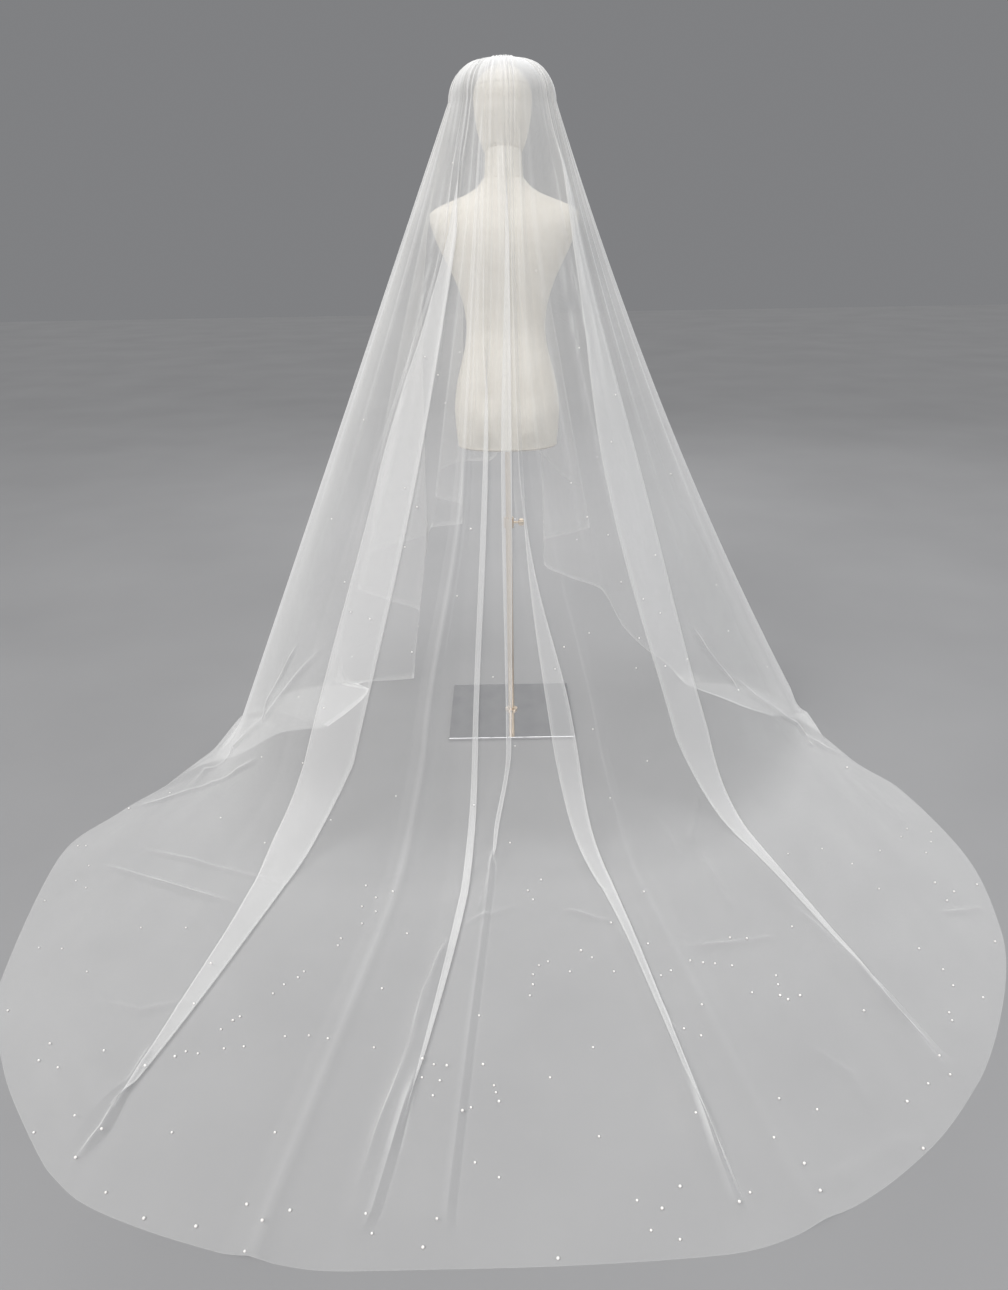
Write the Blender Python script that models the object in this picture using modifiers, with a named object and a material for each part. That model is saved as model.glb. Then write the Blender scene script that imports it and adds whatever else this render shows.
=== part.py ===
"""A gathered drop veil of soft tulle on a limbless dress form with a plain head.

Metres, +Z up. The origin is on the floor under the pole. The form faces +Y,
and the train runs out along -Y. Bearings are degrees round the crown seen from
above: 0 is centre back, 90 is the right side (+X), -90 the left side, 180 is
centre front.
"""
import math

import bmesh
import bpy
import numpy as np

COLLECTION = "bridal_veil"

# Cloth
WALL = 0.0012
FLOOR_LEVEL = WALL / 2 + 0.0001
LAYER_STEP = 0.0042
SEAM_GAP = 0.0003

# Crown of the veil
DOME_Z = 1.700
DOME_SIDE = 0.135
DOME_BACK = 0.125
DOME_FRONT = 0.140
RING_SIDE = 0.0452
RING_DEPTH = 0.0098
RING_Z = 1.7975
RING_DROP = 0.0055

# Gathers below the heading
GATHER_COLUMNS = 8
GATHER_DEPTH = 0.0010
GATHER_SPREAD = 0.0024

# The back of the veil, guide by guide round the crown. foot is where the
# hanging cloth meets the floor, turn is where a side flap turns under (or a
# point on the way), hem is the cut edge. bow moves the middle of the hanging
# part sideways. before and after are the lengths of the bend at the floor.
# under is 1 where the flap is turned under, and lift is how many plies the cloth
# rides up there.
BACK_GUIDES = (
    # bearing, foot x, foot y, turn x, turn y, hem x, hem y, bow, before, after, under, lift
    (-92.0, -0.812, 0.170, -0.730, 0.080, -0.545, -0.040, 0.000, 0.070, 0.050, 0.0, 0.0),
    (-90.0, -0.812, 0.130, -0.740, 0.045, -0.570, -0.080, 0.000, 0.070, 0.050, 0.0, 0.0),
    (-86.5, -0.826, 0.034, -0.846, 0.006, -0.700, -0.110, 0.000, 0.050, 0.030, 1.0, 2.0),
    (-82.0, -0.838, -0.090, -0.885, -0.235, -0.815, -0.262, 0.000, 0.080, 0.060, 1.0, 2.0),
    (-80.0, -0.836, -0.140, -0.908, -0.297, -0.868, -0.290, 0.000, 0.090, 0.070, 1.0, 2.0),
    (-78.5, -0.835, -0.190, -0.930, -0.355, -0.912, -0.325, 0.000, 0.100, 0.070, 1.0, 2.0),
    (-76.8, -0.829, -0.245, -0.955, -0.410, -0.958, -0.414, 0.000, 0.105, 0.075, 0.0, 1.0),
    (-75.0, -0.820, -0.300, -0.975, -0.465, -1.035, -0.535, 0.000, 0.110, 0.080, 0.0, 0.0),
    (-68.0, -0.720, -0.540, -1.020, -0.690, -1.120, -0.755, 0.000, 0.160, 0.130, 0.0, 0.0),
    (-63.0, -0.635, -0.650, -0.990, -1.140, -1.055, -1.200, 0.000, 0.190, 0.160, 0.0, 0.0),
    (-58.0, -0.545, -0.705, -0.730, -1.540, -0.745, -1.640, 0.000, 0.200, 0.180, 0.0, 0.0),
    (-40.0, -0.370, -0.735, -0.515, -1.665, -0.530, -1.750, 0.000, 0.210, 0.190, 0.0, 0.0),
    (-28.0, -0.250, -0.740, -0.400, -1.700, -0.410, -1.782, 0.000, 0.220, 0.200, 0.0, 0.0),
    (-13.0, -0.110, -0.740, -0.250, -1.715, -0.262, -1.803, 0.000, 0.220, 0.200, 0.0, 0.0),
    (0.0, 0.000, -0.740, -0.030, -1.715, -0.030, -1.802, 0.000, 0.220, 0.200, 0.0, 0.0),
    (15.0, 0.150, -0.725, 0.270, -1.700, 0.290, -1.788, -0.030, 0.220, 0.200, 0.0, 0.0),
    (28.0, 0.270, -0.700, 0.450, -1.650, 0.475, -1.728, -0.015, 0.220, 0.200, 0.0, 0.0),
    (42.0, 0.400, -0.650, 0.600, -1.570, 0.630, -1.638, -0.010, 0.210, 0.190, 0.0, 0.0),
    (57.0, 0.550, -0.560, 0.770, -1.400, 0.805, -1.478, -0.020, 0.200, 0.180, 0.0, 0.0),
    (66.0, 0.670, -0.440, 0.960, -1.040, 1.030, -1.090, -0.030, 0.180, 0.150, 0.0, 0.0),
    (72.0, 0.745, -0.340, 1.000, -0.770, 1.078, -0.810, -0.036, 0.150, 0.120, 0.0, 0.0),
    (78.0, 0.815, -0.235, 0.975, -0.460, 1.040, -0.510, -0.040, 0.120, 0.090, 0.0, 0.0),
    (83.0, 0.862, -0.137, 0.928, -0.290, 0.972, -0.362, -0.043, 0.095, 0.070, 0.0, 0.0),
    (85.2, 0.880, -0.090, 0.926, -0.195, 0.929, -0.201, -0.043, 0.085, 0.060, 0.0, 1.0),
    (87.0, 0.893, -0.051, 0.924, -0.120, 0.898, -0.110, -0.043, 0.060, 0.040, 1.0, 2.0),
    (88.3, 0.902, -0.024, 0.922, -0.050, 0.870, -0.070, -0.043, 0.050, 0.025, 1.0, 2.0),
    (90.0, 0.913, 0.013, 0.868, -0.022, 0.815, -0.060, -0.043, 0.070, 0.050, 0.0, 0.0),
    (92.0, 0.913, 0.050, 0.858, 0.006, 0.790, -0.040, -0.043, 0.070, 0.050, 0.0, 0.0),
)

COLUMNS = ("bearing", "foot_x", "foot_y", "turn_x", "turn_y", "hem_x", "hem_y",
           "bow", "before", "after", "under", "lift")


def hermite(keys, values, at):
    """Smooth curve through values at keys that never overshoots them."""
    keys = np.asarray(keys, float)
    values = np.asarray(values, float)
    at = np.clip(np.asarray(at, float), keys[0], keys[-1])
    rise = np.diff(values) / np.diff(keys)
    slopes = np.zeros_like(values)
    slopes[0], slopes[-1] = rise[0], rise[-1]
    same_way = rise[:-1] * rise[1:] > 0
    both = rise[:-1] + rise[1:]
    slopes[1:-1][same_way] = (2 * rise[:-1] * rise[1:])[same_way] / both[same_way]
    k = np.clip(np.searchsorted(keys, at, side="right") - 1, 0, len(keys) - 2)
    step = keys[k + 1] - keys[k]
    t = (at - keys[k]) / step
    h00 = 2 * t**3 - 3 * t**2 + 1
    h10 = t**3 - 2 * t**2 + t
    h01 = -2 * t**3 + 3 * t**2
    h11 = t**3 - t**2
    return (h00 * values[k] + h10 * step * slopes[k]
            + h01 * values[k + 1] + h11 * step * slopes[k + 1])


def ease(low, high, value):
    t = np.clip((value - low) / (high - low), 0.0, 1.0)
    return t * t * (3 - 2 * t)


def ring_angles(start, end, count):
    """Bearings from start to end that are evenly spaced round the oval ring."""
    fine = np.radians(np.linspace(start, end, 721))
    step = np.hypot(RING_SIDE * np.diff(np.sin(fine)), RING_DEPTH * np.diff(np.cos(fine)))
    length = np.concatenate([[0.0], np.cumsum(step)])
    return np.degrees(np.interp(np.linspace(0.0, length[-1], count), length, fine))


def back_point(bearing, ring_bearing, r):
    """Middle of the back wall. r runs 0-1 over the crown, 1-2 down the fall,
    2-3 round the bend at the floor, 3-4 along the floor, 4-5 to the hem."""
    table = np.array(BACK_GUIDES)
    row = {name: hermite(table[:, 0], table[:, i], bearing)
           for i, name in enumerate(COLUMNS)}
    zero = np.zeros_like(bearing)
    angle = np.radians(bearing)
    ring_angle = np.radians(ring_bearing)
    dome = np.stack([DOME_SIDE * np.sin(angle), -DOME_BACK * np.cos(angle), zero + DOME_Z], -1)
    ring = np.stack([RING_SIDE * np.sin(ring_angle), -RING_DEPTH * np.cos(ring_angle),
                     RING_Z - RING_DROP * np.sin(ring_angle) ** 2], -1)
    lift = LAYER_STEP * row["lift"]
    foot = np.stack([row["foot_x"], row["foot_y"], FLOOR_LEVEL + lift], -1)
    turn = np.stack([row["turn_x"], row["turn_y"], FLOOR_LEVEL + lift], -1)
    hem = np.stack([row["hem_x"], row["hem_y"], zero + FLOOR_LEVEL], -1)
    fall = dome - foot
    fall_length = np.linalg.norm(fall, axis=-1, keepdims=True)
    knee_in = foot + fall * (row["before"][..., None] / fall_length)
    run = turn - foot
    run_length = np.linalg.norm(run, axis=-1, keepdims=True)
    knee_out = foot + run * np.minimum(0.8, row["after"][..., None] / run_length)

    r = np.broadcast_to(np.asarray(r, float), np.shape(bearing))
    arc = np.clip(r, 0, 1) * math.pi / 2
    point = ring + (dome - ring) * np.sin(arc)[..., None]
    point[..., 2] = dome[..., 2] + (ring[..., 2] - dome[..., 2]) * np.cos(arc)

    t = np.clip(r - 1, 0, 1)[..., None]
    falling = dome + (knee_in - dome) * t
    falling[..., 0] += row["bow"] * 4 * t[..., 0] * (1 - t[..., 0])
    point = np.where((r > 1)[..., None], falling, point)

    t = np.clip(r - 2, 0, 1)[..., None]
    bend = knee_in * (1 - t) ** 2 + 2 * foot * t * (1 - t) + knee_out * t**2
    point = np.where((r > 2)[..., None], bend, point)

    t = np.clip(r - 3, 0, 1)[..., None]
    point = np.where((r > 3)[..., None], knee_out + (turn - knee_out) * t, point)

    t = np.clip(r - 4, 0, 1)
    half = np.clip(t / 0.5, 0, 1)
    under = row["under"]
    out = run / run_length
    flat = turn + (hem - turn) * t[..., None]
    tucked = turn + out * (LAYER_STEP * np.sin(math.pi * half))[..., None]
    tucked = tucked + (hem - turn) * np.clip((t - 0.5) / 0.5, 0, 1)[..., None]
    tucked[..., 2] = FLOOR_LEVEL + lift * (1 + np.cos(math.pi * half)) / 2
    last = flat + (tucked - flat) * under[..., None]
    return np.where((r > 4)[..., None], last, point)


# How far down the cloth each fold position is read: r of the stations.
BACK_STATIONS = (1.20, 1.55, 1.95, 2.50, 3.30, 5.00)

# Folds of the back, in order along the cloth from its left side. A pleat
# doubles back at its first edge and again at its second; each edge is a row of
# bearings at the stations (high, waist, low, floor bend, train, hem). layers
# are the pleat's three plies, counted up from the innermost. A pleat dies out
# where its first edge lies below its second.
BACK_PLEATS = {
    "left_broad": {
        "first": (-33.0, -39.0, -46.0, -51.5, -56.0, -57.0),
        "second": (-40.0, -56.5, -59.5, -60.0, -58.6, -58.2),
        "layers": (2, 1, 0), "inner": 3, "ramp": 4.2, "spread": 0.040},
    "left_narrow": {
        "first": (-13.0, -9.6, -11.6, -11.2, -10.0, -12.6),
        "second": (-11.0, -12.0, -13.4, -13.2, -11.8, -14.2),
        "layers": (2, 1, 0), "inner": 1, "ramp": 4.5, "spread": 0.016},
    "centre_narrow": {
        "first": (3.0, 1.2, -0.6, -4.6, -6.0, -5.0),
        "second": (0.0, -3.6, -2.4, -5.8, -4.0, -3.0),
        "layers": (2, 1, 0), "inner": 1, "ramp": 4.0, "spread": 0.016},
    "right_narrow": {
        "first": (7.0, 7.0, 17.3, 18.3, 20.0, 18.8),
        "second": (9.0, 6.6, 10.6, 13.6, 17.8, 17.0),
        "layers": (2, 1, 0), "inner": 2, "ramp": 4.0, "spread": 0.018},
    "right_broad": {
        "first": (57.0, 59.5, 57.5, 56.8, 56.6, 56.3),
        "second": (50.0, 42.0, 47.5, 52.0, 55.2, 55.6),
        "layers": (2, 1, 0), "inner": 3, "ramp": 6.0, "spread": 0.040},
}

# Plain guides and soft ridges between the pleats: bearing at the stations and
# height in plies.
BACK_PLAIN = {
    "left_side": ((-90.0,) * 6, 0.0),
    "left_flap_a": ((-86.5,) * 6, 0.0),
    "left_flap_b": ((-83.0,) * 6, 0.0),
    "left_flap_c": ((-80.3,) * 6, 0.0),
    "left_flap_d": ((-78.3,) * 6, 0.0),
    "left_corner": ((-76.8,) * 6, 0.0),
    "left_corner_b": ((-75.0,) * 6, 0.0),
    "left_train_a": ((-72.0, -72.0, -72.5, -72.5, -72.0, -72.0), 0.0),
    "left_train_b": ((-69.5, -69.5, -70.0, -70.0, -69.0, -69.0), 0.0),
    "left_train_c": ((-67.0, -67.0, -67.8, -67.8, -66.6, -66.6), 0.0),
    "left_train_d": ((-64.9, -64.9, -66.0, -66.0, -64.6, -64.4), 0.0),
    "left_panel_a": ((-29.0, -33.5, -41.0, -46.0, -50.0, -51.0), 0.0),
    "left_panel_b": ((-25.5, -28.5, -35.0, -38.5, -41.0, -42.0), 0.0),
    "soft_left_in": ((-22.5, -23.5, -30.5, -32.0, -31.5, -32.0), 0.0),
    "soft_left": ((-20.5, -20.5, -27.5, -28.8, -28.0, -28.0), 1.8),
    "soft_left_out": ((-18.5, -18.0, -24.5, -25.5, -24.5, -24.0), 0.0),
    "right_panel_a": ((13.0, 13.0, 21.5, 22.5, 23.0, 22.5), 0.0),
    "soft_right": ((16.0, 17.0, 24.0, 26.0, 26.0, 26.0), 1.6),
    "right_panel_b": ((19.0, 21.0, 27.0, 29.5, 30.0, 30.0), 0.0),
    "right_panel_c": ((22.0, 28.0, 34.0, 38.0, 40.0, 40.0), 0.0),
    "right_train_a": ((61.0, 62.0, 60.5, 60.0, 59.3, 59.0), 0.0),
    "right_train_b": ((63.5, 64.5, 63.5, 63.0, 62.3, 62.0), 0.0),
    "right_train_d": ((66.5, 67.0, 66.5, 66.0, 65.5, 65.3), 0.0),
    "right_train_e": ((69.5,) * 6, 0.0),
    "right_train_c": ((72.5,) * 6, 0.0),
    "right_corner_a": ((77.0,) * 6, 0.0),
    "right_corner_b": ((81.0,) * 6, 0.0),
    "right_corner_c": ((83.6,) * 6, 0.0),
    "right_corner_d": ((85.2,) * 6, 0.0),
    "right_corner_e": ((87.0,) * 6, 0.0),
    "right_corner_f": ((88.5,) * 6, 0.0),
    "right_side": ((90.0,) * 6, 0.0),
}

BACK_ORDER = (
    "left_side", "left_flap_a", "left_flap_b", "left_flap_c", "left_flap_d",
    "left_corner", "left_corner_b", "left_train_a", "left_train_b", "left_train_c",
    "left_train_d", "left_broad", "left_panel_a", "left_panel_b",
    "soft_left_in", "soft_left", "soft_left_out", "left_narrow", "centre_narrow",
    "right_narrow", "right_panel_a", "soft_right", "right_panel_b", "right_panel_c",
    "right_broad", "right_train_a", "right_train_b", "right_train_d", "right_train_e",
    "right_train_c",
    "right_corner_a", "right_corner_b", "right_corner_c", "right_corner_d",
    "right_corner_e", "right_corner_f", "right_side",
)

BACK_ROWS = (0.0, 0.35, 0.68, 1.0, 1.05, 1.08, 1.11, 1.22, 1.38, 1.6, 1.8, 2.0, 2.35,
             2.7, 3.0, 3.3, 3.65, 4.0, 4.25, 4.5, 5.0)

FOLD_TURN = 4
# A pleat takes its shape over this much of the fall, below the crown.
PLEAT_GROWTH = 0.22
FOLD_RADIUS = LAYER_STEP / 2
CLEAR_DEGREES = 0.8

# A pleat stands up between these laps, in degrees. Its lap is fully folded once
# it is so many fold radii wide, and its plies are level between the two widths
# after that. Where it is half folded, its plies stand wider apart.
LAP_STANDING = (-3.0, -0.5)
LAP_FOLDED = 4.0
LAP_LEVEL = (2.0, 6.0)
HALF_FOLDED_SWELL = 1.2


def pleat_columns(pleat, stations, r, per_metre, grown):
    """Bearing and ply of each column of one pleat, at every r. grown rises from
    0 where the pleat leaves the gathers to 1 where it lies folded."""
    first = hermite(stations, pleat["first"], r)
    second = hermite(stations, pleat["second"], r)
    l_in, l_mid, l_out = pleat["layers"]
    inner = pleat["inner"]
    radius = FOLD_RADIUS * per_metre
    centre = (first + second) / 2
    overlap = first - second
    folded = ease(0.0, LAP_FOLDED, overlap / radius) * ease(0.15, 1.0, grown)
    level = ease(*LAP_LEVEL, overlap / radius) * ease(0.5, 1.0, grown)
    standing = ease(*LAP_STANDING, overlap) * ease(0.0, 0.35, grown)
    standing = standing * (1 + HALF_FOLDED_SWELL * 4 * folded * (1 - folded))
    turns = [math.pi / 2 - math.pi * k / (FOLD_TURN - 1) for k in range(FOLD_TURN)]

    rows = []
    for k in range(inner):
        share = k / inner
        rows.append((second + (first - radius - second) * share, l_in))
    for a in turns:
        rows.append((first - radius * (1 - math.cos(a)),
                     (l_in + l_mid) / 2 + (l_in - l_mid) / 2 * math.sin(a)))
    for k in range(1, inner):
        share = k / inner
        rows.append((first - radius + (second - first + 2 * radius) * share, l_mid))
    for a in turns:
        rows.append((second + radius * (1 - math.cos(a)),
                     (l_mid + l_out) / 2 + (l_mid - l_out) / 2 * math.sin(a)))
    for k in range(1, inner + 1):
        share = k / inner
        rows.append((second + radius + (first - second - radius) * share, l_out))

    spread = np.maximum(pleat["spread"] * per_metre, np.abs(overlap))
    columns = []
    count = len(rows)
    for k, (bearing, layer) in enumerate(rows):
        share = k / (count - 1)
        flat_bearing = centre + spread * (share - 0.5)
        flat_layer = l_in + (l_out - l_in) * share
        columns.append((flat_bearing + (bearing - flat_bearing) * folded,
                        (flat_layer + (layer - flat_layer) * level) * standing))
    return columns


def cloth_columns(order, pleats, plain, stations, r, per_metre, grown):
    """Bearings, plies and hem values of all the columns, one row for each."""
    bearings, layers, hems = [], [], []
    reached = None
    for name in order:
        if name in pleats:
            pleat = pleats[name]
            middle = sum(pleat["first"] + pleat["second"]) / (2 * len(stations))
            unit = pleat_columns(pleat, stations, r, per_metre(middle, r), grown)
            ramp, base = pleat["ramp"], pleat.get("base", 0)
            marks = np.linspace(0, 1, len(pleat.get("hem", (0, 0))))
            hem = [float(np.interp(k / (len(unit) - 1), marks, pleat.get("hem", (0, 0))))
                   for k in range(len(unit))]
            lead = pleat["layers"][0] > base
        else:
            row = plain[name]
            unit = [(hermite(stations, row[0], r), row[1] + 0 * r)]
            hem = [row[2] if len(row) > 2 else 0.0]
            ramp, lead = 0, False
        low = np.min([u[0] for u in unit], axis=0)
        if reached is not None:
            push = np.maximum(0, reached + CLEAR_DEGREES - low)
            unit = [(b + push, n) for b, n in unit]
            low = low + push
        if lead and ramp:
            foot = low - ramp
            if reached is not None:
                foot = np.maximum(foot, reached + CLEAR_DEGREES / 2)
            rise = unit[0][1] - base
            for share, height in ((0.0, 0.0), (0.5, 0.5)):
                bearings.append(foot + (low - foot) * share)
                layers.append(base + rise * height)
                hems.append(hem[0])
        for (b, n), h in zip(unit, hem):
            bearings.append(b)
            layers.append(n)
            hems.append(h)
        reached = np.max([u[0] for u in unit], axis=0)
    return np.array(bearings), np.array(layers), np.array(hems)


# Front of the veil: it falls before the form and its cut edge rises from the
# floor at each side to hip height at the centre. The same columns as the back.
FRONT_GUIDES = (
    (90.0, 0.913, 0.013, 0.868, -0.022, 0.815, -0.060, -0.043, 0.070, 0.050),
    (98.0, 0.885, 0.115, 0.820, 0.055, 0.745, 0.000, -0.040, 0.070, 0.050),
    (106.0, 0.800, 0.190, 0.745, 0.140, 0.675, 0.085, -0.030, 0.070, 0.050),
    (114.0, 0.670, 0.225, 0.630, 0.195, 0.590, 0.160, -0.020, 0.070, 0.050),
    (122.0, 0.540, 0.240, 0.520, 0.220, 0.495, 0.200, -0.010, 0.070, 0.050),
    (135.0, 0.375, 0.245, 0.360, 0.230, 0.340, 0.210, 0.000, 0.070, 0.050),
    (150.0, 0.220, 0.240, 0.210, 0.230, 0.200, 0.210, 0.000, 0.070, 0.050),
    (180.0, 0.000, 0.235, 0.000, 0.220, 0.000, 0.200, 0.000, 0.070, 0.050),
    (210.0, -0.220, 0.240, -0.210, 0.230, -0.200, 0.210, 0.000, 0.070, 0.050),
    (225.0, -0.365, 0.250, -0.350, 0.235, -0.335, 0.215, 0.000, 0.070, 0.050),
    (238.0, -0.510, 0.258, -0.465, 0.250, -0.425, 0.235, 0.000, 0.070, 0.050),
    (246.0, -0.605, 0.258, -0.530, 0.225, -0.460, 0.195, 0.000, 0.070, 0.050),
    (254.0, -0.700, 0.240, -0.595, 0.170, -0.490, 0.105, 0.000, 0.070, 0.050),
    (262.0, -0.778, 0.195, -0.660, 0.110, -0.525, 0.015, 0.000, 0.070, 0.050),
    (270.0, -0.812, 0.130, -0.740, 0.045, -0.570, -0.080, 0.000, 0.070, 0.050),
)

# Heights at which the front's folds are read.
FRONT_HEIGHTS = (0.40, 0.90, 1.40)

# Bearings of the two edges at those heights, lowest first. hem runs along the
# pleat from where it begins to where it ends: the height of the cut edge, or
# below zero the share of the floor run that is laid out.
FRONT_PLEATS = {
    "right_fall": {
        "first": (161.0, 158.0, 146.0),
        "second": (137.0, 141.0, 149.0),
        "layers": (0, 1, 2), "inner": 2, "ramp": 0, "base": 0, "spread": 0.040,
        "hem": (0.33, 0.42, 0.485, 0.52, 0.569, 0.66, 0.78)},
    "left_upper": {
        "first": (221.0, 219.0, 212.0),
        "second": (204.5, 208.0, 214.0),
        "layers": (4, 3, 2), "inner": 1, "ramp": 16.0, "base": 2, "spread": 0.030,
        "hem": (0.76, 0.70, 0.66, 0.61, 0.57, 0.55)},
    "left_lower": {
        "first": (242.0, 247.0, 249.0),
        "second": (219.0, 229.0, 245.5),
        "layers": (2, 1, 0), "inner": 2, "ramp": 0, "base": 2, "spread": 0.040,
        "hem": (0.53, 0.47, 0.40, 0.30, 0.22, -0.10, -0.50)},
}

FRONT_PLAIN = {
    "right_side": ((90.0,) * 3, 0.0, -1.0),
    "right_floor_a": ((94.0,) * 3, 0.0, -1.0),
    "right_floor_b": ((98.5,) * 3, 0.0, -1.0),
    "right_floor_c": ((103.5,) * 3, 0.0, -1.0),
    "right_floor_d": ((109.0,) * 3, 0.0, -1.0),
    "right_lift_a": ((115.0,) * 3, 0.0, -0.8),
    "right_lift_b": ((121.0, 121.0, 121.5), 0.0, 0.03),
    "right_lift_c": ((127.0, 127.0, 128.0), 0.0, 0.12),
    "right_lift_d": ((132.0, 134.0, 136.0), 0.0, 0.20),
    "centre_right": ((170.0, 170.0, 168.0), 2.0, 0.81),
    "centre": ((181.0, 181.0, 182.0), 2.0, 0.805),
    "left_floor_a": ((247.0, 250.0, 252.0), 0.0, -0.9),
    "left_floor_b": ((252.5, 254.0, 255.5), 0.0, -1.0),
    "left_floor_c": ((258.5, 259.0, 260.0), 0.0, -1.0),
    "left_floor_d": ((264.5,) * 3, 0.0, -1.0),
    "left_side": ((270.0,) * 3, 0.0, -1.0),
}

FRONT_ORDER = (
    "right_side", "right_floor_a", "right_floor_b", "right_floor_c", "right_floor_d",
    "right_lift_a", "right_lift_b", "right_lift_c", "right_lift_d", "right_fall",
    "centre_right", "centre", "left_upper", "left_lower", "left_floor_a",
    "left_floor_b", "left_floor_c", "left_floor_d", "left_side",
)

# Rows of the front: over the crown, level rows above the highest part of the
# hem, rows down to the bend, and rows round the bend to the hem.
PROBE_HEIGHTS = 86
LEAST_DEGREE = 1e-4
FRONT_LEVEL_ROWS = (0.08, 0.16, 0.24, 0.32, 0.40)
FRONT_FALL_ROWS = (0.60, 0.80, 1.00)
FRONT_TAIL_ROWS = (2.35, 2.70, 3.00, 3.55, 4.00, 4.25, 4.50, 5.00)


def degrees_per_metre(left, right):
    """From points half a degree to either side."""
    return 1.0 / np.maximum(np.linalg.norm(right - left, axis=-1), LEAST_DEGREE)


def back_degrees_per_metre(bearing, r):
    low, high = np.full_like(r, bearing - 0.5), np.full_like(r, bearing + 0.5)
    return degrees_per_metre(back_point(low, low, r), back_point(high, high, r))


def front_degrees_per_metre(bearing, height):
    low, high = np.full_like(height, bearing - 0.5), np.full_like(height, bearing + 0.5)
    return degrees_per_metre(front_base(low, height), front_base(high, height))


def outward(point, bearing, ring, r, step_b=0.6, step_r=0.02):
    """Unit normals of a surface, away from the form and up from the floor."""
    across = point(bearing + step_b, ring + step_b, r) - point(bearing - step_b, ring - step_b, r)
    r_low = np.maximum(r - step_r, 0.0)
    r_high = np.minimum(r + step_r, 5.0)
    along = point(bearing, ring, r_high) - point(bearing, ring, r_low)
    normal = np.cross(along, across)
    return normal / np.maximum(np.linalg.norm(normal, axis=-1, keepdims=True), 1e-12)


def gathers(count, r, columns_per_wave):
    """Small waves below the heading, widest a third of the way over the crown."""
    k = np.arange(count)[:, None]
    phase = 2 * math.pi * k / columns_per_wave
    inside = np.clip(np.minimum(k, count - 1 - k) / columns_per_wave, 0, 1)
    depth = GATHER_DEPTH + (GATHER_SPREAD - GATHER_DEPTH) * ease(0, 0.6, r)
    return np.sin(phase) * inside * depth * (1 - ease(0.7, 1.6, r))


def back_grid(rows, columns_per_wave=GATHER_COLUMNS):
    r = np.array(rows, float)
    bearing, layer, _ = cloth_columns(
        BACK_ORDER, BACK_PLEATS, BACK_PLAIN, BACK_STATIONS, np.maximum(r, 1.0),
        back_degrees_per_metre,
        np.clip((r - 1.0) / PLEAT_GROWTH, 0.0, 1.0))
    count = len(bearing)
    even = ring_angles(-90.0, 90.0, count)[:, None] + 0 * r
    layer = layer * ease(1.0, 1.11, r)
    grid_r = np.broadcast_to(r, bearing.shape)
    points = back_point(bearing, even, grid_r)
    height = layer * LAYER_STEP + gathers(count, r, columns_per_wave)
    flat = r >= 4.0
    height = np.where(flat[None, :] & (layer < 0.01), 0.0, height)
    return points + outward(back_point, bearing, even, grid_r) * height[..., None]


def front_base(bearing, height):
    """Middle of the front wall at a height above its bend, without plies."""
    row = front_row(bearing)
    angle = np.radians(bearing)
    dome = np.stack([DOME_SIDE * np.sin(angle), -DOME_FRONT * np.cos(angle),
                     0 * angle + DOME_Z], -1)
    foot = np.stack([row["foot_x"], row["foot_y"], 0 * angle + FLOOR_LEVEL], -1)
    fall = dome - foot
    knee = foot + fall * (row["before"] / np.linalg.norm(fall, axis=-1))[..., None]
    t = (DOME_Z - height) / (DOME_Z - knee[..., 2])
    point = dome + (knee - dome) * t[..., None]
    bend = np.clip(t, 0, 1)
    point[..., 0] += row["bow"] * 4 * bend * (1 - bend)
    return point


def front_row(bearing):
    table = np.array(FRONT_GUIDES)
    return {name: hermite(table[:, 0], table[:, i], bearing)
            for i, name in enumerate(COLUMNS[:10])}


def resample(points, shares):
    """Points at the given shares of a polyline's length."""
    steps = np.linalg.norm(np.diff(points, axis=0), axis=1)
    length = np.concatenate([[0], np.cumsum(steps)])
    return np.stack([np.interp(np.array(shares) * length[-1], length, points[:, i])
                     for i in range(3)], -1)


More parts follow.
